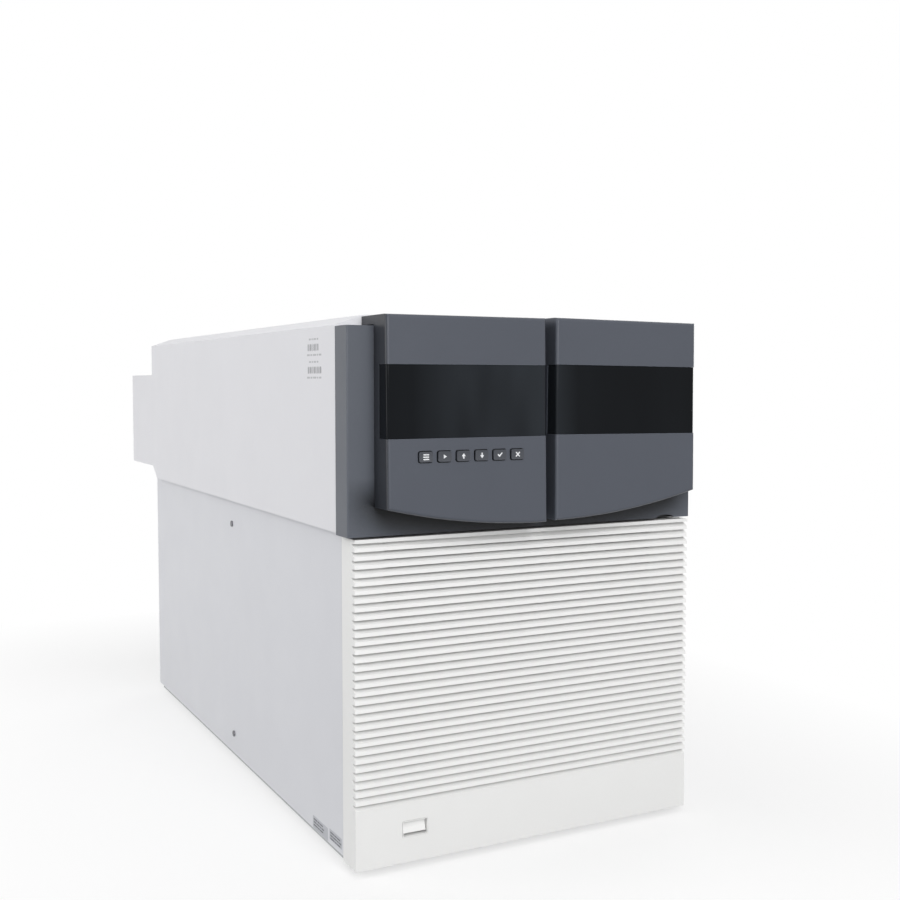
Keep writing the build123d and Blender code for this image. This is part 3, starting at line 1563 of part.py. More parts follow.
x_inlet, z_inlet = inlet_place
flange_width, flange_height, flange_thickness, flange_corner = inlet_flange
y_inlet_face = y_rear + flange_thickness
with BuildPart() as power_inlet:
    with BuildSketch(Plane.XZ.offset(-(y_rear_inner - inlet_depth))):
        with Locations(inlet_place):
            Rectangle(*inlet_size)
    extrude(amount=-(inlet_depth + rear_sheet + flange_thickness / 2))
    with BuildSketch(Plane.XZ.offset(-y_rear)):
        with Locations(inlet_place):
            RectangleRounded(flange_width, flange_height, flange_corner)
    extrude(amount=-flange_thickness)
    with BuildSketch(Plane.XZ.offset(-y_inlet_face)):
        with Locations(inlet_place):
            Rectangle(*cavity_size)
    extrude(amount=cavity_depth, mode=Mode.SUBTRACT)
    with BuildSketch(Plane.XZ.offset(-(y_inlet_face - cavity_depth))):
        for dx, dz in inlet_pins:
            with Locations((x_inlet + dx, z_inlet + dz)):
                Rectangle(*inlet_pin[:2])
    extrude(amount=-inlet_pin[2])

port_rim_width, port_rim_thickness = port_rim
with BuildPart() as network_port:
    with BuildSketch(Plane.XZ.offset(-(y_rear_inner - port_depth))):
        with Locations(port_place):
            Rectangle(*port_size)
    extrude(amount=-(port_depth + rear_sheet))
    with BuildSketch(Plane.XZ.offset(-y_rear)):
        with Locations(port_place):
            Rectangle(*(s + 2 * port_rim_width for s in port_size))
    extrude(amount=-port_rim_thickness)
    with BuildSketch(Plane.XZ.offset(-(y_rear + port_rim_thickness))):
        with Locations(port_place):
            Rectangle(*jack_size)
    extrude(amount=jack_depth, mode=Mode.SUBTRACT)

gas_body, gas_nut = gas_fitting_runs
with BuildPart() as gas_fitting:
    with BuildSketch(Plane.XZ.offset(-y_cowl_end)):
        with Locations((x_gas, z_gas)):
            RegularPolygon(gas_fitting_flats / 2 + 1, 6, major_radius=False)
    extrude(amount=-gas_body)
    with BuildSketch(Plane.XZ.offset(-(y_cowl_end + gas_body))):
        with Locations((x_gas, z_gas)):
            RegularPolygon(gas_fitting_flats / 2, 6, major_radius=False)
    extrude(amount=-gas_nut)
    with BuildSketch(Plane.XZ.offset(-(y_cowl_end - cowl_wall - gas_thread))):
        with Locations((x_gas, z_gas)):
            Circle(gas_thread_radius)
    extrude(amount=-(cowl_wall + gas_thread + gas_body / 2))
    with BuildSketch(Plane.XZ.offset(-(y_cowl_end + gas_body + gas_nut))):
        with Locations((x_gas, z_gas)):
            Circle(gas_tube_radius)
    extrude(amount=-(gas_reach - gas_body - gas_nut))

# ---------------------------------------------------------------- written pieces
pieces = {
    "feet": feet,
    "base_pan": base_pan,
    "front_bulkhead": front_bulkhead,
    "mid_deck": mid_deck,
    "rear_panel": rear_panel,
    "connector_plate": connector_plate,
    "side_panel_left": side_panel_left,
    "side_panel_right": side_panel_right,
    "panel_screws": panel_screws,
    "front_grille": front_grille,
    "switch_housing": switch_housing,
    "power_rocker": power_rocker,
    "front_bezel": front_bezel,
    "control_panel": control_panel,
    "window_panel": window_panel,
    "window_left": window_left,
    "window_right": window_right,
    "keypad_board": keypad_board,
    "display_module": display_module,
    "left_cover": left_cover,
    "right_cover": right_cover,
    "top_cover": top_cover,
    "rear_cowl": rear_cowl,
    "vacuum_manifold": vacuum_manifold,
    "front_side_plate": front_side_plate,
    "rear_side_plate": rear_side_plate,
    "side_plate_seals": side_plate_seals,
    "ion_source": ion_source,
    "lens_stack": lens_stack,
    "front_quadrupole": front_quadrupole,
    "collision_cell": collision_cell,
    "rear_quadrupole": rear_quadrupole,
    "detector": detector,
    "analyzer_brackets": analyzer_brackets,
    "transfer_line": transfer_line,
    "heater_sleeve": heater_sleeve,
    "column_nut": column_nut,
    "turbo_body": turbo_body,
    "turbo_rotor": turbo_rotor,
    "foreline_hose": foreline_hose,
    "exhaust_spigot": exhaust_spigot,
    "vent_valve": vent_valve,
    "vent_knob": vent_knob,
    "calibration_vial": calibration_vial,
    "rf_driver_front": rf_driver_front,
    "rf_driver_rear": rf_driver_rear,
    "power_supply": power_supply,
    "main_board": main_board,
    "fan_frame": fan_frame,
    "fan_rotor": fan_rotor,
    "fan_guard": fan_guard,
    "power_inlet": power_inlet,
    "network_port": network_port,
    "gas_fitting": gas_fitting,
}
pieces |= {f"key_{n}": key for n, key in enumerate(keys, 1)}

os.makedirs("parts", exist_ok=True)
for name, piece in pieces.items():
    piece.part.label = name
    export_step(piece.part, f"parts/{name}.step")
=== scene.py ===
"""Looks of the bench-top triple-quadrupole mass spectrometer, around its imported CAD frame.

Metres, the frame of the CAD: +Z up, the front faces -Y, +X to the right as seen from
the front, origin under the middle of the bounding box.
"""

import json
import math

import bmesh
import bpy
from mathutils import Matrix, Vector
from mathutils.bvhtree import BVHTree


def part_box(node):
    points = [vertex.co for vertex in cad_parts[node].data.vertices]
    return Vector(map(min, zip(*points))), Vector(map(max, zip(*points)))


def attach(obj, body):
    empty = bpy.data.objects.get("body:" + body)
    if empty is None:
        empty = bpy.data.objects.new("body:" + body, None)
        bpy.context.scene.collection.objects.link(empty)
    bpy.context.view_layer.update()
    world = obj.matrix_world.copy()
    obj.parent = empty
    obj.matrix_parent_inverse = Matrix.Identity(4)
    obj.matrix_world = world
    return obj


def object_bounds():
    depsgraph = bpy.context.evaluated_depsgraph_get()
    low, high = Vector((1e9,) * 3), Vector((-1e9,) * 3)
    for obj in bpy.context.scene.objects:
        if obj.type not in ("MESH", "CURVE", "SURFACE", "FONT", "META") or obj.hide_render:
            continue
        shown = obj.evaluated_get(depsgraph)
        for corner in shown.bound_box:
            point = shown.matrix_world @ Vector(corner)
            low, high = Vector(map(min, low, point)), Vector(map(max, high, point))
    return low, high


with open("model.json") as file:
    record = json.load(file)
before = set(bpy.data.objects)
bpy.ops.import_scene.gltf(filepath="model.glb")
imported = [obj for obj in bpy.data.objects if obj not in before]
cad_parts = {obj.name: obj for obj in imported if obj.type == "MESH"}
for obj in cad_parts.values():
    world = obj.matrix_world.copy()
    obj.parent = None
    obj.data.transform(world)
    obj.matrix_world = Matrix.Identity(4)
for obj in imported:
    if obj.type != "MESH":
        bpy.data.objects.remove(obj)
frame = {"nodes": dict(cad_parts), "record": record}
cad_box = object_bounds()

MM = 0.001
ROOT = "body"
DISPLAY_LIMIT = 0.04045  # of the display curve, below which it is straight


# ------------------------------------------------------------------ colour and nodes
def linear(colour):
    """A colour given as 0-255 display values, as the linear values that Blender takes."""
    shares = (c / 255 for c in colour)
    values = (c / 12.92 if c <= DISPLAY_LIMIT else ((c + 0.055) / 1.055) ** 2.4 for c in shares)
    return (*values, 1.0)


def shade(colour, factor):
    """The same linear colour, lighter or darker."""
    return (*(min(1.0, c * factor) for c in colour[:3]), 1.0)


WHITE = (1.0, 1.0, 1.0, 1.0)
NOISE_ROUGHNESS = 0.55
EDGE_COSINES = (0.99, 0.85)  # of the rounded to the flat normal: where wear starts and is full


class Graph:
    """The emptied node tree of a material or world, with short calls for the nodes used here."""

    def __init__(self, owner):
        self.owner = owner
        owner.use_nodes = True
        self.nodes = owner.node_tree.nodes
        self.links = owner.node_tree.links
        self.nodes.clear()
        self.texture = self.add("TexCoord").outputs
        self.coords = self.texture["Object"]

    def add(self, kind, inputs=None, **settings):
        node = self.nodes.new("ShaderNode" + kind)
        for key, value in settings.items():
            setattr(node, key, value)
        for key, value in (inputs or {}).items():
            if isinstance(value, bpy.types.NodeSocket):
                self.links.new(value, node.inputs[key])
            else:
                node.inputs[key].default_value = value
        return node

    def stretched(self, scale):
        """The object's coordinates with each axis scaled."""
        return self.add("Mapping", {"Vector": self.coords, "Scale": scale}).outputs[0]

    def noise(self, scale, detail=3.0, vector=None):
        inputs = {"Vector": vector or self.coords, "Scale": scale}
        inputs.update({"Detail": detail, "Roughness": NOISE_ROUGHNESS})
        return self.add("TexNoise", inputs).outputs[0]

    def ramp(self, value, low, high, to_low=0.0, to_high=1.0):
        """The value taken from low..high to to_low..to_high, and held at their ends."""
        inputs = {"Value": value, "From Min": low, "From Max": high}
        inputs.update({"To Min": to_low, "To Max": to_high})
        return self.add("MapRange", inputs).outputs[0]

    def math(self, operation, a, b=0.0):
        return self.add("Math", {0: a, 1: b}, operation=operation).outputs[0]

    def vector_math(self, operation, a, b=(0.0, 0.0, 0.0), output="Vector"):
        return self.add("VectorMath", {0: a, 1: b}, operation=operation).outputs[output]

    def along(self, axis):
        """One coordinate of the object, in metres."""
        return self.add("SeparateXYZ", {0: self.coords}).outputs[axis]

    def mix(self, factor, a, b):
        return self.add("Mix", {0: factor, 6: a, 7: b}, data_type="RGBA").outputs[2]

    def edges(self, radius):
        """About 1 on convex and concave edges, 0 on flat faces."""
        rounded = self.add("Bevel", {"Radius": radius}, samples=4).outputs[0]
        flat = self.add("NewGeometry").outputs["Normal"]
        cosine = self.vector_math("DOT_PRODUCT", rounded, flat, "Value")
        return self.ramp(cosine, *EDGE_COSINES)

    def corners(self, distance, open_end, closed_end):
        """0 where the surroundings leave a point more open than open_end, 1 below closed_end."""
        node = self.add("AmbientOcclusion", {"Distance": distance}, samples=6)
        return self.ramp(node.outputs["AO"], open_end, closed_end)

    def bump(self, height, distance, strength=1.0):
        inputs = {"Height": height, "Distance": distance, "Strength": strength}
        return self.add("Bump", inputs).outputs[0]

    def seen_directly(self):
        """1 for camera, mirror and see-through rays, 0 for the light that falls on things."""
        rays = self.add("LightPath").outputs
        first = self.math("MAXIMUM", rays["Is Camera Ray"], rays["Is Glossy Ray"])
        return self.math("MAXIMUM", first, rays["Is Transmission Ray"])

    def output(self, shader, kind="OutputMaterial"):
        """Makes the shader the surface of the material or world, and returns that."""
        self.add(kind, {"Surface": shader})
        return self.owner

    def surface(self, base, rough, normal, **fixed):
        """A Principled surface; the fixed values are the same all over it."""
        inputs = {"Base Color": base, "Roughness": rough, "Normal": normal}
        inputs.update({name.replace("_", " "): value for name, value in fixed.items()})
        return self.output(self.add("BsdfPrincipled", inputs).outputs[0])


def material_graph(name):
    return Graph(bpy.data.materials.new(name))


RECESS_SHADE_OPENNESS = (0.7, 0.2)  # ambient occlusion where the painted shade in a recess starts and is darkest
PAINTED_SHADOW_SHARE = 0.06  # share of the colour left where a painted shadow is full


def moulded(
    name,
    colour,
    rough,
    grain=0.35,
    grain_depth=0.012,
    uneven=0.02,
    edge=1.04,
    edge_radius=0.5,
    recess_shade_reach=0.0,
    recess_shade_share=1.0,
    painted_shadow=None,
    **fixed,
):
    """Moulded or painted surface: colour drift, fine grain, rubbed edges, painted shade in
    recesses.

    grain, grain_depth and edge_radius are in mm, and so is the reach of the painted shade
    in recesses, which darkens them down to the given share of the colour. The painted
    shadow, a function of the graph, is about 1 where another part keeps the light off the surface.
    """
    g = material_graph(name)
    base = linear(colour)
    drift = g.ramp(g.noise(7.0, 4.0), 0.35, 0.65)
    tone = g.mix(drift, shade(base, 1 - uneven), shade(base, 1 + uneven))
    fleck = g.ramp(g.noise(900.0, 2.0), 0.35, 0.65, 0.0, 0.5)
    tone = g.mix(fleck, tone, shade(base, 1 - 1.5 * uneven))
    worn = g.math("MULTIPLY", g.edges(edge_radius * MM), g.ramp(g.noise(60.0), 0.35, 0.6))
    tone = g.mix(worn, tone, shade(base, edge))
    # painted shade: the colour darkens where ambient occlusion finds a recess
    if recess_shade_reach:
        recess_shade_mask = g.corners(recess_shade_reach * MM, *RECESS_SHADE_OPENNESS)
        tone = g.mix(recess_shade_mask, tone, shade(base, recess_shade_share))
    # painted shadow: the colour darkens where the given mask says light is kept off
    if painted_shadow:
        tone = g.mix(painted_shadow(g), tone, shade(base, PAINTED_SHADOW_SHARE))
    roughness = g.ramp(g.noise(25.0, 5.0), 0.3, 0.7, rough - 0.05, rough + 0.05)
    skin = g.noise(1.0 / (grain * MM), 2.0)
    return g.surface(tone, roughness, g.bump(skin, grain_depth * MM, 0.6), **fixed)


SCRATCH_DEPTH = 0.01 * MM


def metal(name, colour, rough, brushed=(1.0, 1.0, 1.0), uneven=0.06):
    """Bare or plated metal with fine lines along one direction and dull patches."""
    g = material_graph(name)
    base = linear(colour)
    patches = g.ramp(g.noise(9.0, 5.0), 0.3, 0.7)
    lines = g.noise(600.0, 3.0, vector=g.stretched(brushed))
    tone = g.mix(patches, shade(base, 1 - uneven), shade(base, 1 + uneven))
    tone = g.mix(g.ramp(lines, 0.4, 0.6, 0.0, 0.35), tone, shade(base, 0.85))
    tone = g.mix(g.edges(0.5 * MM), tone, shade(base, 1.15))
    roughness = g.ramp(lines, 0.3, 0.7, rough - 0.07, rough + 0.09)
    return g.surface(tone, roughness, g.bump(lines, SCRATCH_DEPTH, 0.5), Metallic=1.0)


UNDER_PANELS_HEIGHTS = (0.335, 0.312)  # m, where the overhang's shade starts and is full
UNDER_PANELS_REACH = 34.0 * MM
UNDER_PANELS_OPENNESS = (0.95, 0.76)
LEFT_FLANK_ACROSS = (-0.1715, -0.1732)  # m, the left panel's rounded edge and its side
LEFT_FLANK_SHADE = 0.7
REFLECTION_LEFT = (-0.15, -0.09)  # m, where the painted reflection on the left window starts and is full
REFLECTION_RIGHT = (0.01, -0.03)  # m, and the same coming from the right


def painted_shadow_under_panels(g):
    """Painted shadow on the part of the bezel that the two panels' lower edge hangs over."""
    height = g.along("Z")
    shaded_by_panels = g.corners(UNDER_PANELS_REACH, *UNDER_PANELS_OPENNESS)
    return g.math("MULTIPLY", shaded_by_panels, g.ramp(height, *UNDER_PANELS_HEIGHTS))


def painted_flank_shade(g):
    """Painted shade on the narrow left-hand side of the left panel, which lies in the column's
    shade.
    """
    return g.ramp(g.along("X"), *LEFT_FLANK_ACROSS, 0.0, LEFT_FLANK_SHADE)


def smoked_window():
    """Nearly black clear plastic with wiping marks and a painted reflection in soft upright
    lighter streaks.
    """
    g = material_graph("smoked_window")
    across = g.along("X")
    # painted reflection: lighter streaks, faint all over and strongest across the left window
    reflection_band = g.math("MULTIPLY", g.ramp(across, *REFLECTION_LEFT), g.ramp(across, *REFLECTION_RIGHT))
    reflection_streaks = g.ramp(g.noise(15.0, 2.0, vector=g.stretched((1.0, 1.0, 0.3))), 0.35, 0.65, 0.3)
    painted_reflection = g.math("MULTIPLY", g.ramp(reflection_band, 0.0, 1.0, 0.12), reflection_streaks)
    tone = g.mix(painted_reflection, linear((7, 10, 14)), linear((44, 48, 53)))
    wipes = g.noise(18.0, 4.0, vector=g.stretched((0.5, 1.0, 2.5)))
    roughness = g.ramp(wipes, 0.35, 0.7, 0.06, 0.2)
    normal = g.bump(g.noise(14.0, 2.0), 0.05 * MM, 0.4)
    return g.surface(tone, roughness, normal, Specular_IOR_Level=0.1)


def circuit_board():
    """Green solder mask with fine traces and pads."""
    g = material_graph("board_green")
    base = linear((18, 88, 50))
    cells = g.add("TexVoronoi", {"Vector": g.coords, "Scale": 160.0}, feature="DISTANCE_TO_EDGE")
    trace = g.ramp(cells.outputs["Distance"], 0.06, 0.03)
    tone = g.mix(trace, base, linear((48, 128, 80)))
    pads = g.add("TexVoronoi", {"Vector": g.coords, "Scale": 300.0})
    tone = g.mix(g.ramp(pads.outputs["Distance"], 0.14, 0.1), tone, linear((170, 170, 165)))
    return g.surface(tone, g.ramp(g.noise(40.0), 0.3, 0.7, 0.3, 0.45), g.bump(trace, 0.05 * MM))


def vial_glass():
    """Clear glass, a little uneven in tint and polish."""
    g = material_graph("vial_glass")
    tone = g.mix(g.ramp(g.noise(60.0), 0.4, 0.6), linear((236, 242, 240)), linear((222, 232, 230)))
    rough = g.ramp(g.noise(120.0), 0.4, 0.8, 0.02, 0.12)
    return g.surface(tone, rough, g.bump(g.noise(80.0), 0.05 * MM, 0.3), Transmission_Weight=0.9)


MATERIALS = {
    "cover_white": moulded("cover_white", (226, 226, 230), 0.42, uneven=0.012, edge=1.03),
    "panel_white": moulded(
        "panel_white", (215, 216, 221), 0.36, grain=0.9, grain_depth=0.02, uneven=0.014
    ),
    # painted shade in the grooves between the slats
    "louvre_white": moulded(
        "louvre_white", (239, 239, 238), 0.5, uneven=0.012, edge=1.02, recess_shade_reach=5.0, recess_shade_share=0.78
    ),
    # painted shade in the bezel's recesses and a painted shadow under the panels
    "bezel_grey": moulded(
        "bezel_grey",
        (92, 96, 104),
        0.34,
        edge=1.25,
        uneven=0.03,
        recess_shade_reach=15.0,
        recess_shade_share=0.45,
        painted_shadow=painted_shadow_under_panels,
        Specular_IOR_Level=0.25,
    ),
    # painted shade in the groove between the panels and on the left panel's flank
    "panel_grey": moulded(
        "panel_grey",
        (80, 84, 93),
        0.36,
        edge=1.5,
        edge_radius=0.9,
        uneven=0.03,
        recess_shade_reach=12.0,
        recess_shade_share=0.7,
        painted_shadow=painted_flank_shade,
        Specular_IOR_Level=0.3,
    ),
    "smoked_window": smoked_window(),
    # painted shade in the gaps around the keys
    "key_grey": moulded(
        "key_grey", (60, 63, 70), 0.42, edge=1.9, edge_radius=0.6, recess_shade_reach=3.0, recess_shade_share=0.2
    ),
    "board_green": circuit_board(),
    "display_black": moulded("display_black", (16, 20, 20), 0.2, grain_depth=0.004),
    "chassis_steel": metal("chassis_steel", (176, 178, 180), 0.38, (1.0, 1.0, 0.06)),
    "screw_steel": metal("screw_steel", (126, 126, 130), 0.35),
    "cast_aluminium": metal("cast_aluminium", (192, 193, 196), 0.42, uneven=0.1),
    "rubber_black": moulded("rubber_black", (34, 34, 35), 0.75, edge=1.3, grain_depth=0.03),
    "analyzer_steel": metal("analyzer_steel", (188, 188, 190), 0.25, (1.0, 0.05, 1.0)),
    "gold_quartz": metal("gold_quartz", (216, 176, 98), 0.22, (1.0, 0.05, 1.0)),
    "fitting_brass": metal("fitting_brass", (190, 156, 92), 0.3, (1.0, 0.1, 1.0)),
    "vial_glass": vial_glass(),
    "plastic_black": moulded("plastic_black", (38, 38, 40), 0.5, edge=1.35, grain_depth=0.02),
    "guard_chrome": metal("guard_chrome", (196, 198, 200), 0.16, (0.3, 1.0, 1.0)),
}

slot_of = {row["node"]: row["material_slot"] for row in frame["record"]["subparts"]}
for node, obj in frame["nodes"].items():
    for material_slot in obj.material_slots:
        material_slot.material = MATERIALS[slot_of[node]]


# ------------------------------------------------------------------ small pieces
def new_object(name, data):
    obj = bpy.data.objects.new(name, data)
    bpy.context.scene.collection.objects.link(obj)
    return obj


def finish_piece(name, mesh_data, material, body=ROOT, smooth_angle=35.0):
    """Turns a bmesh into a piece that rides on its body."""
    bmesh.ops.recalc_face_normals(mesh_data, faces=mesh_data.faces)
    mesh = bpy.data.meshes.new(name)
    mesh_data.to_mesh(mesh)
    mesh_data.free()
    mesh.materials.append(material)
    mesh.shade_smooth()
    mesh.set_sharp_from_angle(angle=math.radians(smooth_angle))
    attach(new_object(name, mesh), body)


def rounded_outline(width, height, radius, steps=5):
    """Corner-rounded rectangle in its own plane, counter-clockwise."""
    points = []
    for quarter, (sx, sy) in enumerate(((1, 1), (-1, 1), (-1, -1), (1, -1))):
        middle = Vector((sx * (width / 2 - radius), sy * (height / 2 - radius)))
        for n in range(steps + 1):
            turn = math.radians(90 * quarter + 90 * n / steps)
            points.append(middle + radius * Vector((math.cos(turn), math.sin(turn))))
    return points


def join_loops(mesh_data, low, high):
    """The faces between two closed loops of as many points."""
    for a, b, c, d in zip(low, low[1:] + low[:1], high[1:] + high[:1], high):
        mesh_data.faces.new((a, b, c, d))


def slab(mesh_data, outline, thickness, place):
    """A thin slab of the outline; place maps its plane and height into the object."""
    low = [mesh_data.verts.new(place @ Vector((p.x, p.y, 0.0))) for p in outline]
    high = [mesh_data.verts.new(place @ Vector((p.x, p.y, thickness))) for p in outline]
    mesh_data.faces.new(low[::-1])
    mesh_data.faces.new(high)
    join_loops(mesh_data, low, high)


FRONT, LEFT, REAR = (0, -1, 0), (-1, 0, 0), (0, 1, 0)


def plane_mm(origin, normal):
    """Frame in mm of an upright plane: x to the right of someone who looks at it, z out."""
    z = Vector(normal)
    x = Vector((0.0, 0.0, 1.0)).cross(z)
    turn = Matrix((x, z.cross(x), z)).transposed().to_4x4()
    return Matrix.Translation(Vector(origin)) @ turn @ Matrix.Scale(MM, 4)


# ------------------------------------------------------------------ marks on the keys
def turned(points, degrees):
    """The points turned about their plane's origin."""
    turn = Matrix.Rotation(math.radians(degrees), 2)
    return [turn @ p for p in points]


def bar(width, height, x=0.0, y=0.0):
    """A stroke with rounded ends around (x, y)."""
    radius = 0.45 * min(width, height)
    return [p + Vector((x, y)) for p in rounded_outline(width, height, radius, 2)]


def polygon(*points):
    return [Vector(p) for p in points]


ARROW_HEAD = polygon((-1.9, 0.2), (0.0, -2.4), (1.9, 0.2))
STROKE = (5.4, 1.0)  # a mark's long stroke
SHAFT = (1.2, 2.6)  # of the arrows
KEY_MARKS = (  # outlines in mm: list, play, up, down, tick, cross
    [bar(*STROKE, y=y) for y in (-1.9, 0.0, 1.9)],
    [polygon((-1.3, 1.7), (-1.3, -1.7), (1.8, 0.0))],
    [turned(ARROW_HEAD, 180), bar(*SHAFT, y=-1.1)],
    [ARROW_HEAD, bar(*SHAFT, y=1.1)],
    [polygon((-2.4, 0.0), (-1.7, 0.8), (-0.6, -0.3), (1.7, 2.1), (2.4, 1.4), (-0.6, -1.8))],
    [turned(bar(*STROKE), 45), turned(bar(*STROKE), -45)],
)
MARK_THICKNESS = 0.1
MARK_SUNK = 0.06 * MM  # so that a hair of the mark stands above the cap
RAY_START = 0.01  # m in front of the cap
ink = moulded("key_ink", (232, 234, 236), 0.5, grain_depth=0.002, uneven=0.04)

for number, outlines in enumerate(KEY_MARKS, 1):
    key = f"key_{number}"
    key_low, key_high = (Vector(corner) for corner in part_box(key))
    key_middle = (key_low + key_high) / 2
    cap_front = plane_mm((key_middle.x, key_low.y, key_middle.z), FRONT)
    cap_mesh = frame["nodes"][key].data
    cap = BVHTree.FromPolygons(
        [vert.co for vert in cap_mesh.vertices], [side.vertices for side in cap_mesh.polygons]
    )
    marks = bmesh.new()
    for outline in outlines:
        slab(marks, outline, MARK_THICKNESS, cap_front)
    for vert in marks.verts:
        # laid into the hollow of the cap
        start = Vector((vert.co.x, key_low.y - RAY_START, vert.co.z))
        touch = cap.ray_cast(start, Vector((0.0, 1.0, 0.0)))[0]
        vert.co.y += touch.y - key_low.y + MARK_SUNK
    finish_piece(f"key_mark_{number}", marks, ink, key)


# ------------------------------------------------------------------ prints and plates
PRINT_THICKNESS = 0.04


def print_row(mesh_data, place, left, bottom, height, widths, gap):
    """Plain strokes side by side, in mm on the plane of place."""
    for width in widths:
        outline = bar(width, height, left + width / 2, bottom + height / 2)
        slab(mesh_data, outline, PRINT_THICKNESS, place)
        left += width + gap


print_grey = moulded("print_grey", (150, 150, 154), 0.5, grain_depth=0.002, uneven=0.03)
print_pale = moulded("print_pale", (186, 186, 190), 0.5, grain_depth=0.002, uneven=0.03)
cover_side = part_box("left_cover")[0][0]
PRINTS_REAR_END = -312.5 * MM
STRIPE_HEIGHT, STRIPE_GAP = 6.2, 1.3
STRIPES = (2.2, 0.9, 3.0, 1.2, 0.8, 2.6, 1.6, 0.8, 2.4, 1.2, 2.8)
NOTE_HEIGHT, NOTE_GAP = 1.6, 1.4
NOTES = (  # left and bottom from the stripes' corner, lengths
    (3.0, 9.4, (5.0, 3.4, 6.2, 4.0)),
    (-2.0, -4.2, (7.0, 4.6, 8.4, 3.2, 6.0)),
)

for name, bottom, widths in (
    ("cover_print_upper", 440.6, STRIPES[:9]),
    ("cover_print_lower", 421.0, STRIPES),
):
    corner = plane_mm((cover_side, PRINTS_REAR_END, bottom * MM), LEFT)
    stripes = bmesh.new()
    print_row(stripes, corner, 0.0, 0.0, STRIPE_HEIGHT, widths, STRIPE_GAP)
    finish_piece(name, stripes, print_grey)
    notes = bmesh.new()
    for left, low, lengths in NOTES:
        print_row(notes, corner, left, low, NOTE_HEIGHT, lengths, NOTE_GAP)
    finish_piece(name + "_notes", notes, print_pale)

plate_grey = moulded("plate_grey", (182, 184, 190), 0.4, grain_depth=0.004, uneven=0.02)
print_dark = moulded("print_dark", (90, 92, 98), 0.5, grain_depth=0.002, uneven=0.03)
panel_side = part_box("side_panel_left")[0][0]
PLATE_THICKNESS, PLATE_CORNER = 0.15, 1.0
LINE_HEIGHT, LINE_GAP, LINE_PITCH = 1.3, 1.0, 2.7
LINE_MARGIN, FIRST_LINE = 2.0, 3.4  # from the plate's left and upper edge
LINES = ((9.0, 5.0, 7.0), (6.0, 8.0, 3.0, 5.5), (10.0, 4.0, 7.5))

for name, rear_end, bottom, width, height in (
    ("side_plate_rear", -299.0, 9.4, 37.0, 11.6),
    ("side_plate_front", -340.0, 13.2, 28.5, 9.4),
):
    middle = (panel_side, (rear_end - width / 2) * MM, (bottom + height / 2) * MM)
    panel = plane_mm(middle, LEFT)
    plate = bmesh.new()
    slab(plate, rounded_outline(width, height, PLATE_CORNER), PLATE_THICKNESS, panel)
    finish_piece(name, plate, plate_grey)
    plate_face = panel @ Matrix.Translation((0.0, 0.0, PLATE_THICKNESS))
    lines = bmesh.new()
    for row, lengths in enumerate(LINES):
        low = height / 2 - FIRST_LINE - LINE_PITCH * row
        left = LINE_MARGIN - width / 2
        print_row(lines, plate_face, left, low, LINE_HEIGHT, lengths, LINE_GAP)
    finish_piece(name + "_lines", lines, print_dark)


# ------------------------------------------------------------------ fan guard, small fasteners
RING_STEPS, WIRE_SIDES = 72, 10
GUARD_RINGS = 4  # with the outermost, which the CAD has
GUARD_OUTER_RING = 36.5 * MM
GUARD_WIRE = 0.75 * MM  # radius


def wire_ring(mesh_data, middle, radius, wire):
    """A closed ring of round wire, upright and facing the rear."""
    loops = []
    for n in range(RING_STEPS):
        turn = 2 * math.pi * n / RING_STEPS
        outward = Vector((math.cos(turn), 0.0, math.sin(turn)))
        loop = []
        for k in range(WIRE_SIDES):
            roll = 2 * math.pi * k / WIRE_SIDES
            reach = outward * math.cos(roll) + Vector((0.0, math.sin(roll), 0.0))
            loop.append(mesh_data.verts.new(middle + outward * radius + reach * wire))
        loops.append(loop)
    for first, second in zip(loops, loops[1:] + loops[:1]):
        join_loops(mesh_data, first, second)


# the guard's inner rings, which the CAD's guard lacks, across its four spokes
guard_low, guard_high = (Vector(corner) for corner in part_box("fan_guard"))
inner_rings = bmesh.new()
for n in range(1, GUARD_RINGS):
    radius = n * GUARD_OUTER_RING / GUARD_RINGS
    wire_ring(inner_rings, (guard_low + guard_high) / 2, radius, GUARD_WIRE)
finish_piece("fan_guard_rings", inner_rings, MATERIALS["guard_chrome"])

SCREW_SEGMENTS = 24
SCREW_SMOOTH_ANGLE = 28.0
SCREW_PROFILE = (  # share of the radius, share of the height, hexagonal
    (1.0, 0.0, False),
    (1.0, 0.3, False),
    (0.93, 0.62, False),
    (0.76, 0.88, False),
    (0.56, 1.0, False),
    (0.42, 1.0, True),
    (0.4, 0.94, True),
    (0.4, 0.35, True),
)


def socket_screw(mesh_data, place, radius, height):
    """Domed head with a hexagonal socket, standing on the plane of place (mm)."""
    loops = []
    for share, level, hexagonal in SCREW_PROFILE:
        loop = []
        for n in range(SCREW_SEGMENTS):
            turn = 2 * math.pi * n / SCREW_SEGMENTS
            reach = radius * share
            if hexagonal:
                reach /= math.cos(turn % (math.pi / 3) - math.pi / 6) / math.cos(math.pi / 6)
            point = Vector((reach * math.cos(turn), reach * math.sin(turn), level * height))
            loop.append(mesh_data.verts.new(place @ point))
        loops.append(loop)
    for low, high in zip(loops, loops[1:]):
        join_loops(mesh_data, low, high)
    mesh_data.faces.new(loops[0][::-1])
    mesh_data.faces.new(loops[-1])


REAR_SCREWS = (  # name, node, inset from its edges, head's radius and height, turn, heights (mm)
    ("fan_guard_screws", "fan_guard", 4.0, 3.3, 1.9, 20.0, None),
    ("connector_plate_screws", "connector_plate", 5.0, 2.6, 1.5, 35.0, None),
    # inset so far that they clear the side panels' edges
    ("rear_panel_screws", "rear_panel", 17.0, 2.8, 1.6, 50.0, (50.0, 184.0, 282.0)),
    ("rear_cowl_screws", "rear_cowl", 16.0, 2.8, 1.6, 15.0, None),
)

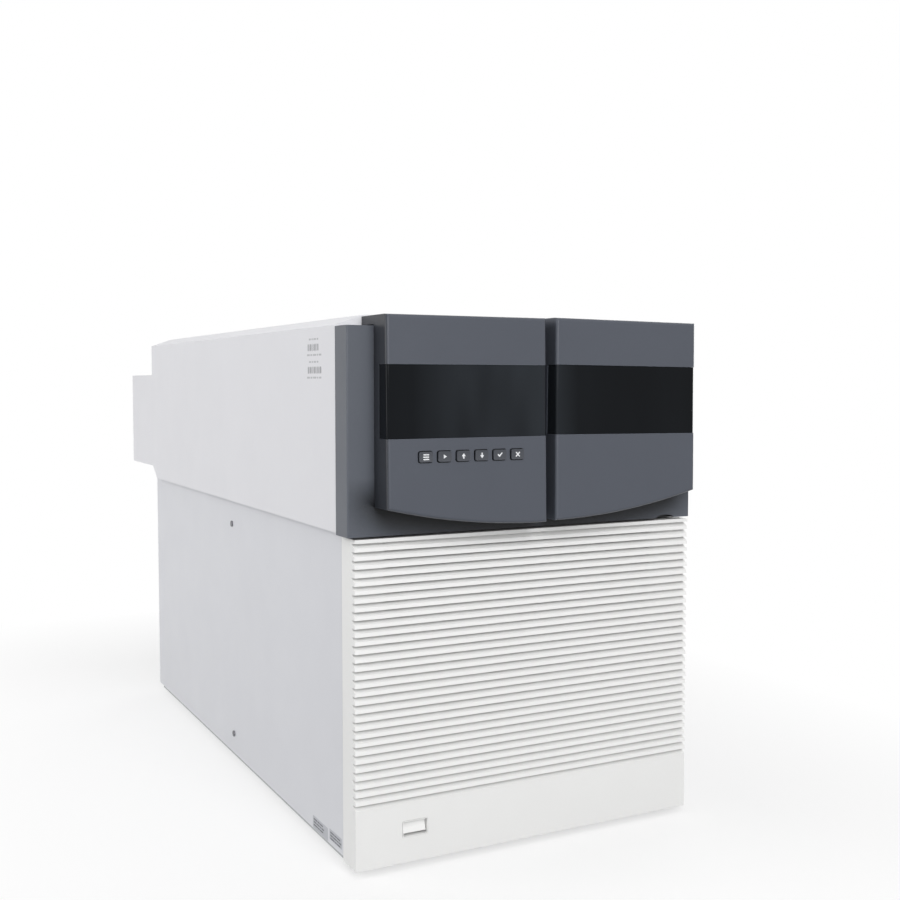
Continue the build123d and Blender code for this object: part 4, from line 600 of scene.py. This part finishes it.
for name, node, inset, radius, height, turn, levels in REAR_SCREWS:
    low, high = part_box(node)
    edges = (low[0] / MM + inset, high[0] / MM - inset)
    levels = levels or (low[2] / MM + inset, high[2] / MM - inset)
    heads = bmesh.new()
    for n, (x, z) in enumerate([(x, z) for x in edges for z in levels]):
        seat = plane_mm((x * MM, high[1], z * MM), REAR)
        seat = seat @ Matrix.Rotation(math.radians(turn * n), 4, "Z")
        socket_screw(heads, seat, radius, height)
    finish_piece(
        name, heads, MATERIALS["screw_steel"], smooth_angle=SCREW_SMOOTH_ANGLE
    )


# ------------------------------------------------------------------ camera, light, floor
CAMERA_PLACE = (-0.558302, -1.283810, 0.413544)
CAMERA_YAW, CAMERA_PITCH = 27.285, 3.309  # degrees to the right and downwards
CAMERA_LENS, SENSOR_WIDTH = 46.816, 36.0  # mm

camera_data = bpy.data.cameras.new("camera")
camera_data.lens = CAMERA_LENS
camera_data.sensor_fit = "HORIZONTAL"
camera_data.sensor_width = SENSOR_WIDTH
camera_data.clip_start, camera_data.clip_end = 0.05, 60.0
camera = new_object("camera", camera_data)
camera.location = CAMERA_PLACE
camera.rotation_euler = (math.radians(90 - CAMERA_PITCH), 0.0, math.radians(-CAMERA_YAW))
bpy.context.scene.camera = camera
bpy.context.scene.view_settings.view_transform = "Standard"

LAMP_TARGET = (0.0, -0.1, 0.25)
LAMPS = (  # name, place, side of its square in m, watts
    ("lamp_front", (-0.5, -3.0, 1.5), 2.0, 65.0),
    ("lamp_left", (-3.0, 0.5, 1.3), 2.2, 46.0),
    ("lamp_back", (2.9, 2.3, 1.0), 2.4, 58.0),
)

for name, place, side, watts in LAMPS:
    light = bpy.data.lights.new(name, "AREA")
    light.shape, light.size, light.energy = "SQUARE", side, watts
    lamp = new_object(name, light)
    lamp.location = place
    aim = Vector(LAMP_TARGET) - Vector(place)
    lamp.rotation_euler = aim.to_track_quat("-Z", "Y").to_euler()

HORIZON_LIGHT, ZENITH_LIGHT = 0.72, 0.24
FLOOR_BOUNCE = 0.24  # light that the floor throws back onto the object
FLOOR_FADE = (0.02, 0.4, 0.6, 1.0)  # m from the footprint, share of white there
FLOOR_REACH = 30.0


def grey(value):
    return (value, value, value, 1.0)


def studio_world():
    """Soft light from all round, which the camera and mirrors see as plain white."""
    g = Graph(bpy.data.worlds.new("studio"))
    height = g.add("SeparateXYZ", {0: g.texture["Generated"]}).outputs["Z"]
    strength = g.ramp(height, 0.0, 1.0, HORIZON_LIGHT, ZENITH_LIGHT)
    lit = g.add("Background", {"Color": WHITE, "Strength": strength}).outputs[0]
    white = g.add("Background", {"Color": WHITE, "Strength": 1.0}).outputs[0]
    seen = g.add("MixShader", {0: g.seen_directly(), 1: lit, 2: white}).outputs[0]
    return g.output(seen, "OutputWorld")


def floor_material():
    """Pale matt floor that turns into the white background away from the object."""
    g = material_graph("studio_floor")
    direct = g.seen_directly()
    pale = g.mix(g.ramp(g.noise(1.5, 3.0), 0.3, 0.7), grey(0.95), grey(0.97))
    tone = g.mix(direct, grey(FLOOR_BOUNCE), pale)
    paint = g.add("BsdfDiffuse", {"Color": tone}).outputs[0]
    glow = g.add("Emission", {"Color": WHITE, "Strength": 1.0}).outputs[0]
    # distance from the object's footprint
    half = (Vector(cad_box[1]) - Vector(cad_box[0])) / 2
    beyond = g.vector_math("SUBTRACT", g.vector_math("ABSOLUTE", g.coords), (half.x, half.y, 0.0))
    distance = g.vector_math("LENGTH", g.vector_math("MAXIMUM", beyond), output="Value")
    share = g.math("MULTIPLY", g.ramp(distance, *FLOOR_FADE), direct)
    return g.output(g.add("MixShader", {0: share, 1: paint, 2: glow}).outputs[0])


bpy.context.scene.world = studio_world()
floor_mesh = bmesh.new()
bmesh.ops.create_grid(floor_mesh, x_segments=2, y_segments=2, size=FLOOR_REACH)
floor_data = bpy.data.meshes.new("floor")
floor_mesh.to_mesh(floor_data)
floor_mesh.free()
floor_data.materials.append(floor_material())
new_object("floor", floor_data)
